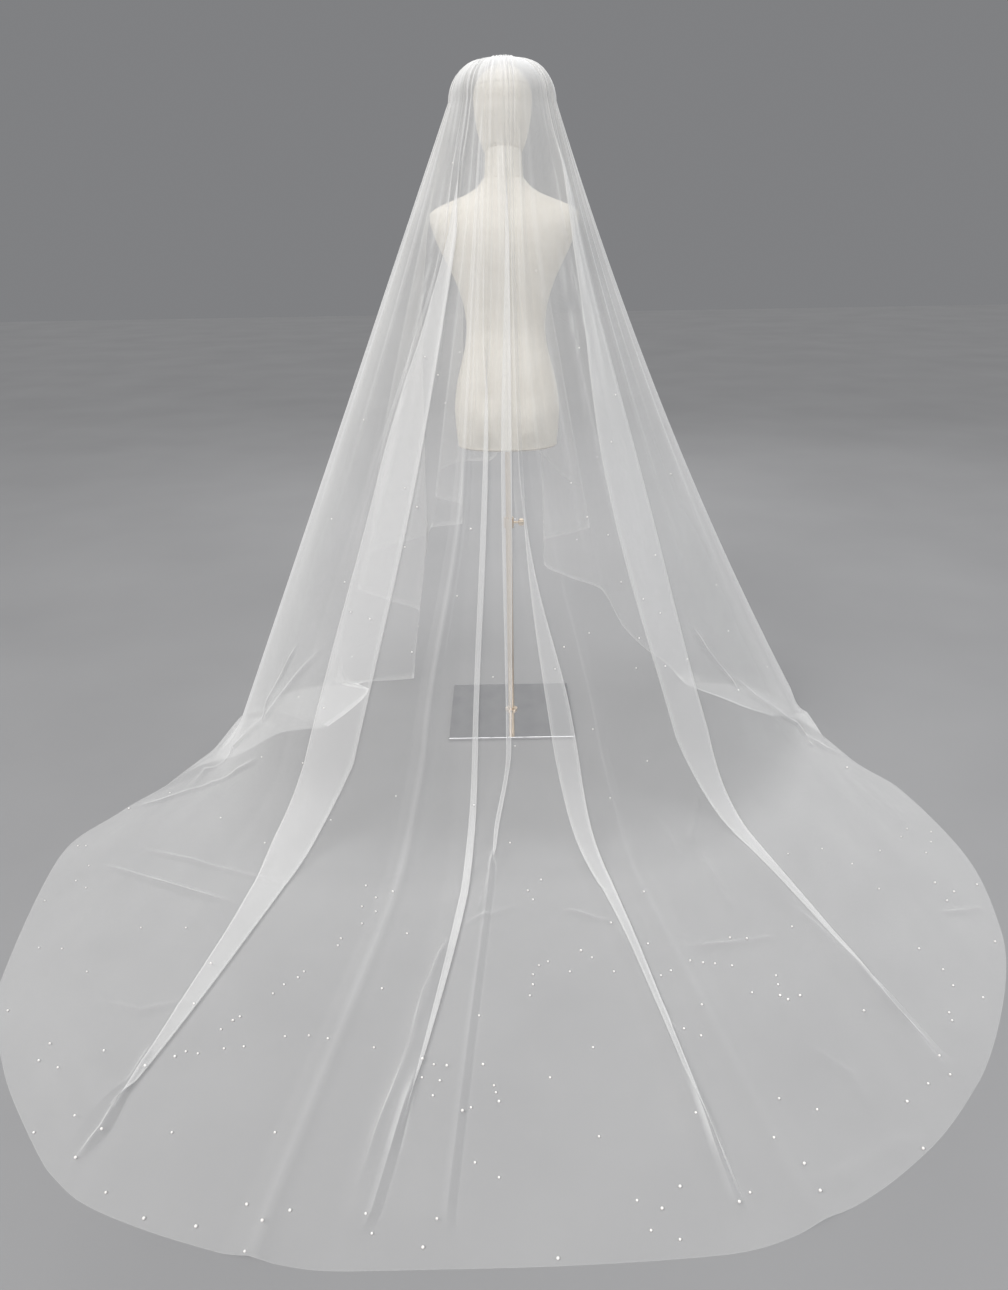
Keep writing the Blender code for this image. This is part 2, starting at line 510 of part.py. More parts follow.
def front_grid(dome_rows=BACK_ROWS[:4], level_rows=FRONT_LEVEL_ROWS, fall_rows=FRONT_FALL_ROWS,
               tail_rows=FRONT_TAIL_ROWS):
    probe = np.linspace(0.0, DOME_Z, PROBE_HEIGHTS)

    bearing, layer, hem = cloth_columns(
        FRONT_ORDER, FRONT_PLEATS, FRONT_PLAIN, FRONT_HEIGHTS,
        np.clip(probe, FRONT_HEIGHTS[0], FRONT_HEIGHTS[-1]), front_degrees_per_metre,
        np.clip((1.0 - probe / DOME_Z) / PLEAT_GROWTH, 0.0, 1.0))
    count = len(bearing)
    even = ring_angles(90.0, 270.0, count)
    layer = layer * (1 - ease(1.52, DOME_Z, probe))
    waves = gathers(count, np.array(dome_rows), GATHER_COLUMNS / 2)

    side_shares = []
    for at, back in ((90.0, 90.0), (270.0, -90.0)):
        column = back_point(np.full(len(tail_rows) + 1, back), np.full(len(tail_rows) + 1, back),
                            np.array((2.0,) + tuple(tail_rows)))
        steps = np.linalg.norm(np.diff(column, axis=0), axis=1)
        side_shares.append(np.cumsum(steps) / steps.sum())

    grid = []
    for k in range(count):
        share = k / (count - 1)
        shares = side_shares[0] + (side_shares[1] - side_shares[0]) * share
        grid.append(front_column(bearing[k], layer[k], hem[k], even[k], probe,
                                 dome_rows, level_rows, fall_rows, shares, waves[k]))
    grid = np.array(grid)
    rows = np.array(tuple(dome_rows) + tuple(1 + f for f in level_rows + fall_rows)
                    + tuple(tail_rows))
    for edge, inner, side in ((0, 1, 90.0), (-1, -2, -90.0)):
        seam = back_point(np.full(len(rows), side), np.full(len(rows), side), rows)
        along = np.gradient(seam, axis=0)
        along /= np.linalg.norm(along, axis=-1, keepdims=True)
        away = grid[inner] - seam
        away -= along * np.sum(away * along, axis=-1, keepdims=True)
        away /= np.linalg.norm(away, axis=-1, keepdims=True)
        gap = SEAM_GAP * (2 + 2 * (1 - ease(0.0, 0.8, rows)))
        grid[edge] = seam + away * gap[:, None]
    return grid


def front_column(bearings, layers, hem, ring_bearing, probe, dome_rows, level_rows, fall_rows,
                 shares, waves):
    """One column from the heading over the crown, down the front and to its hem."""
    low = np.interp(np.array(FRONT_HEIGHTS[:1]), probe, bearings)
    row = front_row(low)
    laid = float(np.clip(-hem, 0, 1))
    knee_z = knee_height(low)
    end_z = max(hem, knee_z)
    top_share = 1 - 0.25 * float(ease(-1.0, 0.3, hem))
    tail_top = DOME_Z - (DOME_Z - end_z) * top_share

    def fall(z):
        z = np.atleast_1d(np.asarray(z, float))
        b = np.interp(z, probe, bearings)
        point = front_base(b, z)
        across = front_base(b + 0.6, z) - front_base(b - 0.6, z)
        along = front_base(b, z - 0.02) - front_base(b, z + 0.02)
        normal = np.cross(along, across)
        normal /= np.linalg.norm(normal, axis=-1, keepdims=True)
        return point + normal * (np.interp(z, probe, layers) * LAYER_STEP)[:, None]

    dome = fall(DOME_Z)[0]
    angle = math.radians(ring_bearing)
    ring = np.array([RING_SIDE * math.sin(angle), -RING_DEPTH * math.cos(angle),
                     RING_Z - RING_DROP * math.sin(angle) ** 2])
    points = []
    for r, wave in zip(dome_rows, waves):
        arc = r * math.pi / 2
        point = ring + (dome - ring) * math.sin(arc)
        point[2] = dome[2] + (ring[2] - dome[2]) * math.cos(arc)
        out = np.array([math.sin(angle) * math.sin(arc), -math.cos(angle) * math.sin(arc),
                        math.cos(arc)])
        points.append(point + out * wave)
    for t in level_rows:
        points.append(fall(DOME_Z + (knee_z - DOME_Z) * t)[0])
    level_z = DOME_Z + (knee_z - DOME_Z) * level_rows[-1]
    for t in fall_rows:
        share = (t - level_rows[-1]) / (1 - level_rows[-1])
        points.append(fall(level_z + (tail_top - level_z) * share)[0])

    tail = [fall(z)[0] for z in np.linspace(tail_top, end_z, 9)]
    if hem <= knee_z:
        foot = np.array([row["foot_x"][0], row["foot_y"][0], FLOOR_LEVEL])
        turn = np.array([row["turn_x"][0], row["turn_y"][0], FLOOR_LEVEL])
        edge = np.array([row["hem_x"][0], row["hem_y"][0], FLOOR_LEVEL])
        knee = fall(end_z)[0]
        run = turn - foot
        after = foot + run * min(0.8, row["after"][0] / np.linalg.norm(run))
        bend = [knee * (1 - t) ** 2 + 2 * foot * t * (1 - t) + after * t**2
                for t in np.linspace(0, 1, 9)[1:]]
        path = np.array([knee] + bend + [turn, edge])
        steps = np.linalg.norm(np.diff(path, axis=0), axis=1)
        length = np.concatenate([[0], np.cumsum(steps)])
        bend_length = length[4]
        keep = bend_length + (length[-1] - bend_length) * laid
        if hem > 0:
            keep = bend_length * (1 - hem / knee_z)
        cut = [path[i] for i in range(len(path)) if length[i] < keep - 1e-6]
        cut.append(np.array([np.interp(keep, length, path[:, i]) for i in range(3)]))
        tail = tail + cut[1:]
    tail = np.array(tail)
    points.extend(resample(tail, shares))
    return points


def knee_height(bearing):
    row = front_row(bearing)
    angle = np.radians(bearing)
    dome = np.array([DOME_SIDE * np.sin(angle)[0], -DOME_FRONT * np.cos(angle)[0], DOME_Z])
    foot = np.array([row["foot_x"][0], row["foot_y"][0], FLOOR_LEVEL])
    fall = dome - foot
    return foot[2] + fall[2] * row["before"][0] / np.linalg.norm(fall)


# Dress form. Each section is a height, half width, depth in front of the pole
# and depth behind it.
TORSO_SECTIONS = (
    # height, half width, front, back
    (0.8470, 0.134, 0.098, 0.104),
    (0.8520, 0.138, 0.102, 0.108),
    (0.9000, 0.143, 0.108, 0.116),
    (0.9470, 0.145, 0.111, 0.119),
    (1.0100, 0.138, 0.106, 0.111),
    (1.0790, 0.121, 0.095, 0.094),
    (1.1250, 0.110, 0.087, 0.080),
    (1.1650, 0.106, 0.084, 0.073),
    (1.2100, 0.110, 0.091, 0.075),
    (1.2600, 0.123, 0.107, 0.082),
    (1.3000, 0.139, 0.120, 0.089),
    (1.3350, 0.157, 0.123, 0.095),
    (1.3750, 0.176, 0.112, 0.098),
    (1.4080, 0.188, 0.097, 0.096),
    (1.4300, 0.194, 0.083, 0.090),
    (1.4470, 0.194, 0.071, 0.083),
    (1.4580, 0.183, 0.065, 0.077),
    (1.4680, 0.163, 0.061, 0.072),
    (1.4800, 0.132, 0.058, 0.067),
    (1.4920, 0.100, 0.055, 0.062),
    (1.5080, 0.072, 0.052, 0.058),
    (1.5300, 0.052, 0.050, 0.053),
)
TORSO_SIDES = 32
TORSO_SQUARENESS = 2.35

NECK_SECTIONS = (
    (1.5303, 0.0510, 0.049, 0.052),
    (1.5450, 0.0490, 0.048, 0.050),
    (1.5650, 0.0480, 0.048, 0.049),
    (1.5900, 0.0465, 0.048, 0.048),
)
HEAD_SECTIONS = (
    (1.5903, 0.0470, 0.060, 0.0485),
    (1.6020, 0.0530, 0.074, 0.0590),
    (1.6200, 0.0600, 0.084, 0.0710),
    (1.6450, 0.0665, 0.092, 0.0840),
    (1.6750, 0.0715, 0.097, 0.0940),
)
FORM_ROUNDNESS = 2.0
NECK_TILT = -0.28
HEAD_SIDES = 28
HEAD_WIDEST_Z = 1.708
HEAD_HALF_WIDTH = 0.0735
HEAD_HALF_DEPTH = 0.098
HEAD_RISE = 0.076
HEAD_DOME_RINGS = 8

# Comb and gathered heading on top of the head
COMB_TEETH = 10
COMB_PITCH = 0.0036
COMB_THICK = 0.0016
COMB_SPINE = 0.004
COMB_TOOTH = 0.022
COMB_STEPS = 2
HEADING_HALF_LENGTH = 0.0445
HEADING_HALF_DEPTH = 0.0092
HEADING_TOP = 1.8032
HEADING_SAG = 0.0065
HEADING_SECTIONS = 45
HEADING_SIDES = 8
HEADING_WAVE = 0.0078
HEADING_RUCHE = 0.0012

# Stand
PLATE_SIDE = 0.380
PLATE_THICK = 0.010
PLATE_BEVEL = 0.0012
FLANGE_RADIUS = 0.0190
FLANGE_THICK = 0.0040
POLE_LOWER_RADIUS = 0.0095
POLE_UPPER_RADIUS = 0.0080
COLLAR_RADIUS = 0.0150
COLLAR_BOTTOM = 0.6050
COLLAR_TOP = 0.6350
KNOB_REACH = 0.0300
KNOB_RADIUS = 0.0100
KNOB_STEM_RADIUS = 0.0035
GAP = 0.0003


def clear_scene():
    for obj in list(bpy.data.objects):
        bpy.data.objects.remove(obj, do_unlink=True)


def material(name, colour, roughness, metallic=0.0):
    made = bpy.data.materials.new(name)
    made.use_nodes = True
    shader = made.node_tree.nodes["Principled BSDF"]
    shader.inputs["Base Color"].default_value = (*colour, 1.0)
    shader.inputs["Roughness"].default_value = roughness
    shader.inputs["Metallic"].default_value = metallic
    return made


def add_object(name, mesh, finish, smooth_angle=50.0):
    mesh.materials.append(finish)
    mesh.shade_smooth()
    mesh.set_sharp_from_angle(angle=math.radians(smooth_angle))
    obj = bpy.data.objects.new(name, mesh)
    bpy.data.collections[COLLECTION].objects.link(obj)
    return obj


def grid_mesh(name, grid):
    """An open surface through a grid of points."""
    columns, rows = grid.shape[:2]
    faces = [(i * rows + k, i * rows + k + 1, (i + 1) * rows + k + 1, (i + 1) * rows + k)
             for i in range(columns - 1) for k in range(rows - 1)]
    mesh = bpy.data.meshes.new(name)
    mesh.from_pydata(grid.reshape(-1, 3).tolist(), [], faces)
    return mesh


def loft_mesh(name, rings):
    """A closed body through rings of the same number of points."""
    rings = np.array(rings)
    count, sides = rings.shape[:2]
    faces = [(i * sides + k, i * sides + (k + 1) % sides,
              (i + 1) * sides + (k + 1) % sides, (i + 1) * sides + k)
             for i in range(count - 1) for k in range(sides)]
    faces.append(tuple(range(sides))[::-1])
    faces.append(tuple((count - 1) * sides + k for k in range(sides)))
    mesh = bpy.data.meshes.new(name)
    mesh.from_pydata(rings.reshape(-1, 3).tolist(), [], faces)
    return mesh


def form_ring(height, half_width, front, back, sides, squareness, tilt=0.0):
    """One section of the dress form, seen from above."""
    ring = []
    for k in range(sides):
        angle = 2 * math.pi * k / sides
        c, s = math.cos(angle), math.sin(angle)
        depth = front if s > 0 else back
        x = half_width * math.copysign(abs(c) ** (2 / squareness), c)
        y = depth * math.copysign(abs(s) ** (2 / squareness), s)
        ring.append((x, y, height + tilt * y))
    return ring


def head_surface(x, y):
    """Height of the head's upper dome."""
    inside = 1 - (x / HEAD_HALF_WIDTH) ** 2 - (y / HEAD_HALF_DEPTH) ** 2
    return HEAD_WIDEST_Z + HEAD_RISE * math.sqrt(max(inside, 0.0))


def add_cloth(finish):
    for name, grid in (("veil_back", back_grid(BACK_ROWS)), ("veil_front", front_grid())):
        sheet = add_object(name, grid_mesh(name, grid), finish)
        wall = sheet.modifiers.new("wall", "SOLIDIFY")
        wall.thickness = WALL
        wall.offset = 0.0


def add_heading(finish):
    """The gathered strip that the sheet is drawn up into, over the comb."""
    rings = []
    for i in range(HEADING_SECTIONS):
        share = 2 * i / (HEADING_SECTIONS - 1) - 1
        x = HEADING_HALF_LENGTH * share
        bottom = head_surface(x, 0.0) + COMB_THICK + 2 * GAP
        top = HEADING_TOP - HEADING_SAG * share**2
        ruche = HEADING_RUCHE * math.sin(2 * math.pi * x / HEADING_WAVE)
        end = math.sqrt(max(1 - abs(share) ** 6, 0.02))
        oval = math.sqrt(max(1 - share**2, 0.02))
        half = (HEADING_HALF_DEPTH + 0.5 * ruche - HEADING_RUCHE * 0.5) * oval
        middle, rise = (top + bottom) / 2, (top - bottom) / 2
        ring = []
        for k in range(HEADING_SIDES):
            angle = 2 * math.pi * k / HEADING_SIDES
            c, s = math.cos(angle), math.sin(angle)
            lift = (ruche - HEADING_RUCHE) * max(s, 0.0)
            ring.append((x, half * math.copysign(abs(c) ** 0.7, c),
                         middle + rise * end * math.copysign(abs(s) ** 0.7, s) + lift))
        rings.append(ring)
    add_object("gathered_heading", loft_mesh("gathered_heading", rings), finish)


def add_comb(finish):
    """A plain comb over the top of the head: a spine, and teeth to the back."""
    stops = 2 * COMB_TEETH
    xs = [(i - stops / 2 + 0.5) * COMB_PITCH for i in range(stops)]
    ys = [COMB_SPINE, -COMB_SPINE]
    ys += [-COMB_SPINE - COMB_TOOTH * (k + 1) / COMB_STEPS for k in range(COMB_STEPS)]
    shell = bmesh.new()
    lift = GAP + COMB_THICK / 2
    rows = [[shell.verts.new((x, y, head_surface(x, y) + lift)) for x in xs] for y in ys]
    for i in range(stops - 1):
        shell.faces.new((rows[0][i], rows[1][i], rows[1][i + 1], rows[0][i + 1]))
        if i % 2 == 0:
            for k in range(1, len(ys) - 1):
                shell.faces.new((rows[k][i], rows[k + 1][i], rows[k + 1][i + 1], rows[k][i + 1]))
    loose = [v for v in shell.verts if not v.link_faces]
    bmesh.ops.delete(shell, geom=loose, context="VERTS")
    mesh = bpy.data.meshes.new("comb")
    shell.to_mesh(mesh)
    shell.free()
    comb = add_object("comb", mesh, finish)
    plate = comb.modifiers.new("plate", "SOLIDIFY")
    plate.thickness = COMB_THICK
    plate.offset = 0.0


def add_form(finish):
    torso = [form_ring(z, w, f, b, TORSO_SIDES, TORSO_SQUARENESS) for z, w, f, b in TORSO_SECTIONS]
    add_object("form_torso", loft_mesh("form_torso", torso), finish)

    top = len(NECK_SECTIONS) - 1
    neck = [form_ring(z, w, f, b, HEAD_SIDES, FORM_ROUNDNESS, NECK_TILT * i / top)
            for i, (z, w, f, b) in enumerate(NECK_SECTIONS)]
    add_object("form_neck", loft_mesh("form_neck", neck), finish)

    low = len(HEAD_SECTIONS)
    head = [form_ring(z, w, f, b, HEAD_SIDES, FORM_ROUNDNESS, NECK_TILT * (1 - i / low))
            for i, (z, w, f, b) in enumerate(HEAD_SECTIONS)]
    for k in range(HEAD_DOME_RINGS):
        angle = math.radians(88.0) * k / (HEAD_DOME_RINGS - 1)
        shrink = math.cos(angle)
        head.append(form_ring(HEAD_WIDEST_Z + HEAD_RISE * math.sin(angle),
                              HEAD_HALF_WIDTH * shrink, HEAD_HALF_DEPTH * shrink,
                              HEAD_HALF_DEPTH * shrink, HEAD_SIDES, FORM_ROUNDNESS))
    add_object("form_head", loft_mesh("form_head", head), finish)


def add_cylinder(name, radius, bottom, top, finish, sides=32):
    bpy.ops.mesh.primitive_cylinder_add(vertices=sides, radius=radius, depth=top - bottom,
                                        location=(0, 0, (top + bottom) / 2))
    made = bpy.context.object
    mesh = made.data
    place = made.location.copy()
    bpy.data.objects.remove(made, do_unlink=True)
    mesh.name = name
    rod = add_object(name, mesh, finish)
    rod.location = place
    return rod


def add_stand(metal, mirror):
    bpy.ops.mesh.primitive_cube_add(size=1.0)
    block = bpy.context.object
    mesh = block.data
    bpy.data.objects.remove(block, do_unlink=True)
    for vertex in mesh.vertices:
        vertex.co = (vertex.co.x * PLATE_SIDE, vertex.co.y * PLATE_SIDE,
                     (vertex.co.z + 0.5) * PLATE_THICK)
    plate = add_object("base_plate", mesh, mirror, smooth_angle=30.0)
    rounding = plate.modifiers.new("rounding", "BEVEL")
    rounding.width = PLATE_BEVEL
    rounding.segments = 1

    flange_bottom = PLATE_THICK + GAP
    flange_top = flange_bottom + FLANGE_THICK
    torso_bottom = TORSO_SECTIONS[0][0]
    add_cylinder("foot_flange", FLANGE_RADIUS, flange_bottom, flange_top, metal)
    add_cylinder("pole_lower", POLE_LOWER_RADIUS, flange_top + GAP, COLLAR_BOTTOM - GAP, metal, 24)
    add_cylinder("pole_collar", COLLAR_RADIUS, COLLAR_BOTTOM, COLLAR_TOP, metal)
    add_cylinder("pole_upper", POLE_UPPER_RADIUS, COLLAR_TOP + GAP, torso_bottom - GAP, metal, 24)
    add_knob(metal)


def add_knob(metal):
    """A turned knob on a short stem, out of the collar's right side."""
    profile = ((KNOB_REACH, 0.0), (KNOB_REACH, 0.6 * KNOB_RADIUS),
               (0.92 * KNOB_REACH, KNOB_RADIUS), (0.52 * KNOB_REACH, KNOB_RADIUS),
               (0.44 * KNOB_REACH, 0.6 * KNOB_RADIUS), (0.40 * KNOB_REACH, KNOB_STEM_RADIUS),
               (0.0, KNOB_STEM_RADIUS), (0.0, 0.0))
    mesh = bpy.data.meshes.new("collar_knob")
    mesh.from_pydata([(radius, 0.0, along) for along, radius in profile],
                     [(i, i + 1) for i in range(len(profile) - 1)], [])
    knob = add_object("collar_knob", mesh, metal)
    turn = knob.modifiers.new("turn", "SCREW")
    turn.steps = 20
    turn.render_steps = 20
    turn.use_merge_vertices = True
    turn.merge_threshold = 0.00005
    knob.rotation_euler = (0.0, math.pi / 2, 0.0)
    knob.location = (COLLAR_RADIUS + GAP, 0.0, (COLLAR_BOTTOM + COLLAR_TOP) / 2)


def main():
    clear_scene()
    collection = bpy.data.collections.new(COLLECTION)
    bpy.context.scene.collection.children.link(collection)
    tulle = material("soft_tulle", (0.93, 0.93, 0.92), 0.70)
    fabric = material("cream_fabric", (0.80, 0.74, 0.64), 0.85)
    clear_plastic = material("clear_plastic", (0.86, 0.86, 0.85), 0.25)
    metal = material("champagne_metal", (0.78, 0.66, 0.50), 0.30, 1.0)
    mirror = material("polished_steel", (0.82, 0.82, 0.83), 0.05, 1.0)
    add_cloth(tulle)
    add_heading(tulle)
    add_comb(clear_plastic)
    add_form(fabric)
    add_stand(metal, mirror)


main()
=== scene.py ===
"""A gathered drop veil of soft tulle with scattered pearls, on a limbless dress form.

Metres, +Z up. The form faces +Y and the train runs out along -Y. Bearings are
degrees round the crown: 0 is centre back, 90 the right side, -90 the left side.
"""
import math

import bmesh
import bpy
import numpy as np
from mathutils import Euler, Matrix, Vector
from mathutils.bvhtree import BVHTree
from mathutils.kdtree import KDTree


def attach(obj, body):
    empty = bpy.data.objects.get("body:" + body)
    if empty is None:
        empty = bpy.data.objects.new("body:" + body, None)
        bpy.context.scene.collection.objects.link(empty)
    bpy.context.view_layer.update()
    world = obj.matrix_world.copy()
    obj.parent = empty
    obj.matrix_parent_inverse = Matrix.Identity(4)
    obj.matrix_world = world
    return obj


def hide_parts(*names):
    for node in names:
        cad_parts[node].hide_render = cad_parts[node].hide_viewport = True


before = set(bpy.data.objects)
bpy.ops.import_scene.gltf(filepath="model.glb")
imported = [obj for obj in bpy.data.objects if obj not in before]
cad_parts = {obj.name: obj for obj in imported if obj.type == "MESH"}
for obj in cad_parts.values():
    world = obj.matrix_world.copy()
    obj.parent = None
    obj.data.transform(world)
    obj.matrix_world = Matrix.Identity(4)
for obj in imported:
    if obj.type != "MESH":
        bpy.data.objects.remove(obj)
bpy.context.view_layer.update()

# Cloth
WALL = 0.0012
FLOOR_LEVEL = WALL / 2 + 0.0001
LAYER_STEP = 0.0042
SEAM_GAP = 0.0003

# Crown of the veil
DOME_Z = 1.700
DOME_SIDE = 0.135
DOME_BACK = 0.125
DOME_FRONT = 0.140
RING_SIDE = 0.0452
RING_DEPTH = 0.0098
RING_Z = 1.7975
RING_DROP = 0.0055

# Gathers below the heading
GATHER_COLUMNS = 8
GATHER_DEPTH = 0.0010
GATHER_SPREAD = 0.0024

# The back of the veil, guide by guide round the crown. foot is where the
# hanging cloth meets the floor, turn is where a side flap turns under (or a
# point on the way), hem is the cut edge. bow moves the middle of the hanging
# part sideways. before and after are the lengths of the bend at the floor.
# under is 1 where the flap is turned under, and lift is how many plies the cloth
# rides up there.
BACK_GUIDES = (
    # bearing, foot x, foot y, turn x, turn y, hem x, hem y, bow, before, after, under, lift
    (-92.0, -0.812, 0.170, -0.730, 0.080, -0.545, -0.040, 0.000, 0.070, 0.050, 0.0, 0.0),
    (-90.0, -0.812, 0.130, -0.740, 0.045, -0.570, -0.080, 0.000, 0.070, 0.050, 0.0, 0.0),
    (-86.5, -0.826, 0.034, -0.846, 0.006, -0.700, -0.110, 0.000, 0.050, 0.030, 1.0, 2.0),
    (-82.0, -0.838, -0.090, -0.885, -0.235, -0.815, -0.262, 0.000, 0.080, 0.060, 1.0, 2.0),
    (-80.0, -0.836, -0.140, -0.908, -0.297, -0.868, -0.290, 0.000, 0.090, 0.070, 1.0, 2.0),
    (-78.5, -0.835, -0.190, -0.930, -0.355, -0.912, -0.325, 0.000, 0.100, 0.070, 1.0, 2.0),
    (-76.8, -0.829, -0.245, -0.955, -0.410, -0.958, -0.414, 0.000, 0.105, 0.075, 0.0, 1.0),
    (-75.0, -0.820, -0.300, -0.975, -0.465, -1.035, -0.535, 0.000, 0.110, 0.080, 0.0, 0.0),
    (-68.0, -0.720, -0.540, -1.020, -0.690, -1.120, -0.755, 0.000, 0.160, 0.130, 0.0, 0.0),
    (-63.0, -0.635, -0.650, -0.990, -1.140, -1.055, -1.200, 0.000, 0.190, 0.160, 0.0, 0.0),
    (-60.8, -0.596, -0.679, -0.901, -1.342, -0.945, -1.415, 0.000, 0.195, 0.168, 0.0, 0.0),
    (-59.2, -0.567, -0.694, -0.822, -1.455, -0.852, -1.538, 0.000, 0.197, 0.175, 0.0, 0.0),
    (-57.6, -0.541, -0.706, -0.745, -1.546, -0.766, -1.634, 0.000, 0.200, 0.180, 0.0, 0.0),
    (-54.5, -0.511, -0.714, -0.680, -1.600, -0.697, -1.685, 0.000, 0.202, 0.182, 0.0, 0.0),
    (-49.5, -0.461, -0.723, -0.613, -1.634, -0.628, -1.716, 0.000, 0.205, 0.185, 0.0, 0.0),
    (-40.0, -0.370, -0.735, -0.515, -1.665, -0.530, -1.750, 0.000, 0.210, 0.190, 0.0, 0.0),
    (-28.0, -0.250, -0.740, -0.400, -1.700, -0.410, -1.782, 0.000, 0.220, 0.200, 0.0, 0.0),
    (-13.0, -0.110, -0.740, -0.250, -1.715, -0.262, -1.803, 0.000, 0.220, 0.200, 0.0, 0.0),
    (0.0, 0.000, -0.740, -0.030, -1.715, -0.030, -1.802, 0.000, 0.220, 0.200, 0.0, 0.0),
    (15.0, 0.150, -0.725, 0.270, -1.700, 0.290, -1.788, -0.030, 0.220, 0.200, 0.0, 0.0),
    (28.0, 0.270, -0.700, 0.450, -1.650, 0.475, -1.728, -0.015, 0.220, 0.200, 0.0, 0.0),
    (42.0, 0.400, -0.650, 0.600, -1.570, 0.630, -1.638, -0.010, 0.210, 0.190, 0.0, 0.0),
    (57.0, 0.550, -0.560, 0.770, -1.400, 0.805, -1.478, -0.020, 0.200, 0.180, 0.0, 0.0),
    (66.0, 0.670, -0.440, 0.960, -1.040, 1.030, -1.090, -0.030, 0.180, 0.150, 0.0, 0.0),
    (72.0, 0.745, -0.340, 1.000, -0.770, 1.078, -0.810, -0.036, 0.150, 0.120, 0.0, 0.0),
    (78.0, 0.815, -0.235, 0.975, -0.460, 1.040, -0.510, -0.040, 0.120, 0.090, 0.0, 0.0),
    (83.0, 0.862, -0.137, 0.928, -0.290, 0.972, -0.362, -0.043, 0.095, 0.070, 0.0, 0.0),
    (85.2, 0.880, -0.090, 0.926, -0.195, 0.929, -0.201, -0.043, 0.085, 0.060, 0.0, 1.0),
    (87.0, 0.893, -0.051, 0.924, -0.120, 0.898, -0.110, -0.043, 0.060, 0.040, 1.0, 2.0),
    (88.3, 0.902, -0.024, 0.922, -0.050, 0.870, -0.070, -0.043, 0.050, 0.025, 1.0, 2.0),
    (90.0, 0.913, 0.013, 0.868, -0.022, 0.815, -0.060, -0.043, 0.070, 0.050, 0.0, 0.0),
    (92.0, 0.913, 0.050, 0.858, 0.006, 0.790, -0.040, -0.043, 0.070, 0.050, 0.0, 0.0),
)

COLUMNS = ("bearing", "foot_x", "foot_y", "turn_x", "turn_y", "hem_x", "hem_y",
           "bow", "before", "after", "under", "lift")


def hermite(keys, values, at):
    """Smooth curve through values at keys that never overshoots them."""
    keys = np.asarray(keys, float)
    values = np.asarray(values, float)
    at = np.clip(np.asarray(at, float), keys[0], keys[-1])
    rise = np.diff(values) / np.diff(keys)
    slopes = np.zeros_like(values)
    slopes[0], slopes[-1] = rise[0], rise[-1]
    same_way = rise[:-1] * rise[1:] > 0
    both = rise[:-1] + rise[1:]
    slopes[1:-1][same_way] = (2 * rise[:-1] * rise[1:])[same_way] / both[same_way]
    k = np.clip(np.searchsorted(keys, at, side="right") - 1, 0, len(keys) - 2)
    step = keys[k + 1] - keys[k]
    t = (at - keys[k]) / step
    h00 = 2 * t**3 - 3 * t**2 + 1
    h10 = t**3 - 2 * t**2 + t
    h01 = -2 * t**3 + 3 * t**2
    h11 = t**3 - t**2
    return (h00 * values[k] + h10 * step * slopes[k]
            + h01 * values[k + 1] + h11 * step * slopes[k + 1])


def ease(low, high, value):
    t = np.clip((value - low) / (high - low), 0.0, 1.0)
    return t * t * (3 - 2 * t)


def ring_angles(start, end, count):
    """Bearings from start to end that are evenly spaced round the oval ring."""
    fine = np.radians(np.linspace(start, end, 721))
    step = np.hypot(RING_SIDE * np.diff(np.sin(fine)), RING_DEPTH * np.diff(np.cos(fine)))
    length = np.concatenate([[0.0], np.cumsum(step)])
    return np.degrees(np.interp(np.linspace(0.0, length[-1], count), length, fine))


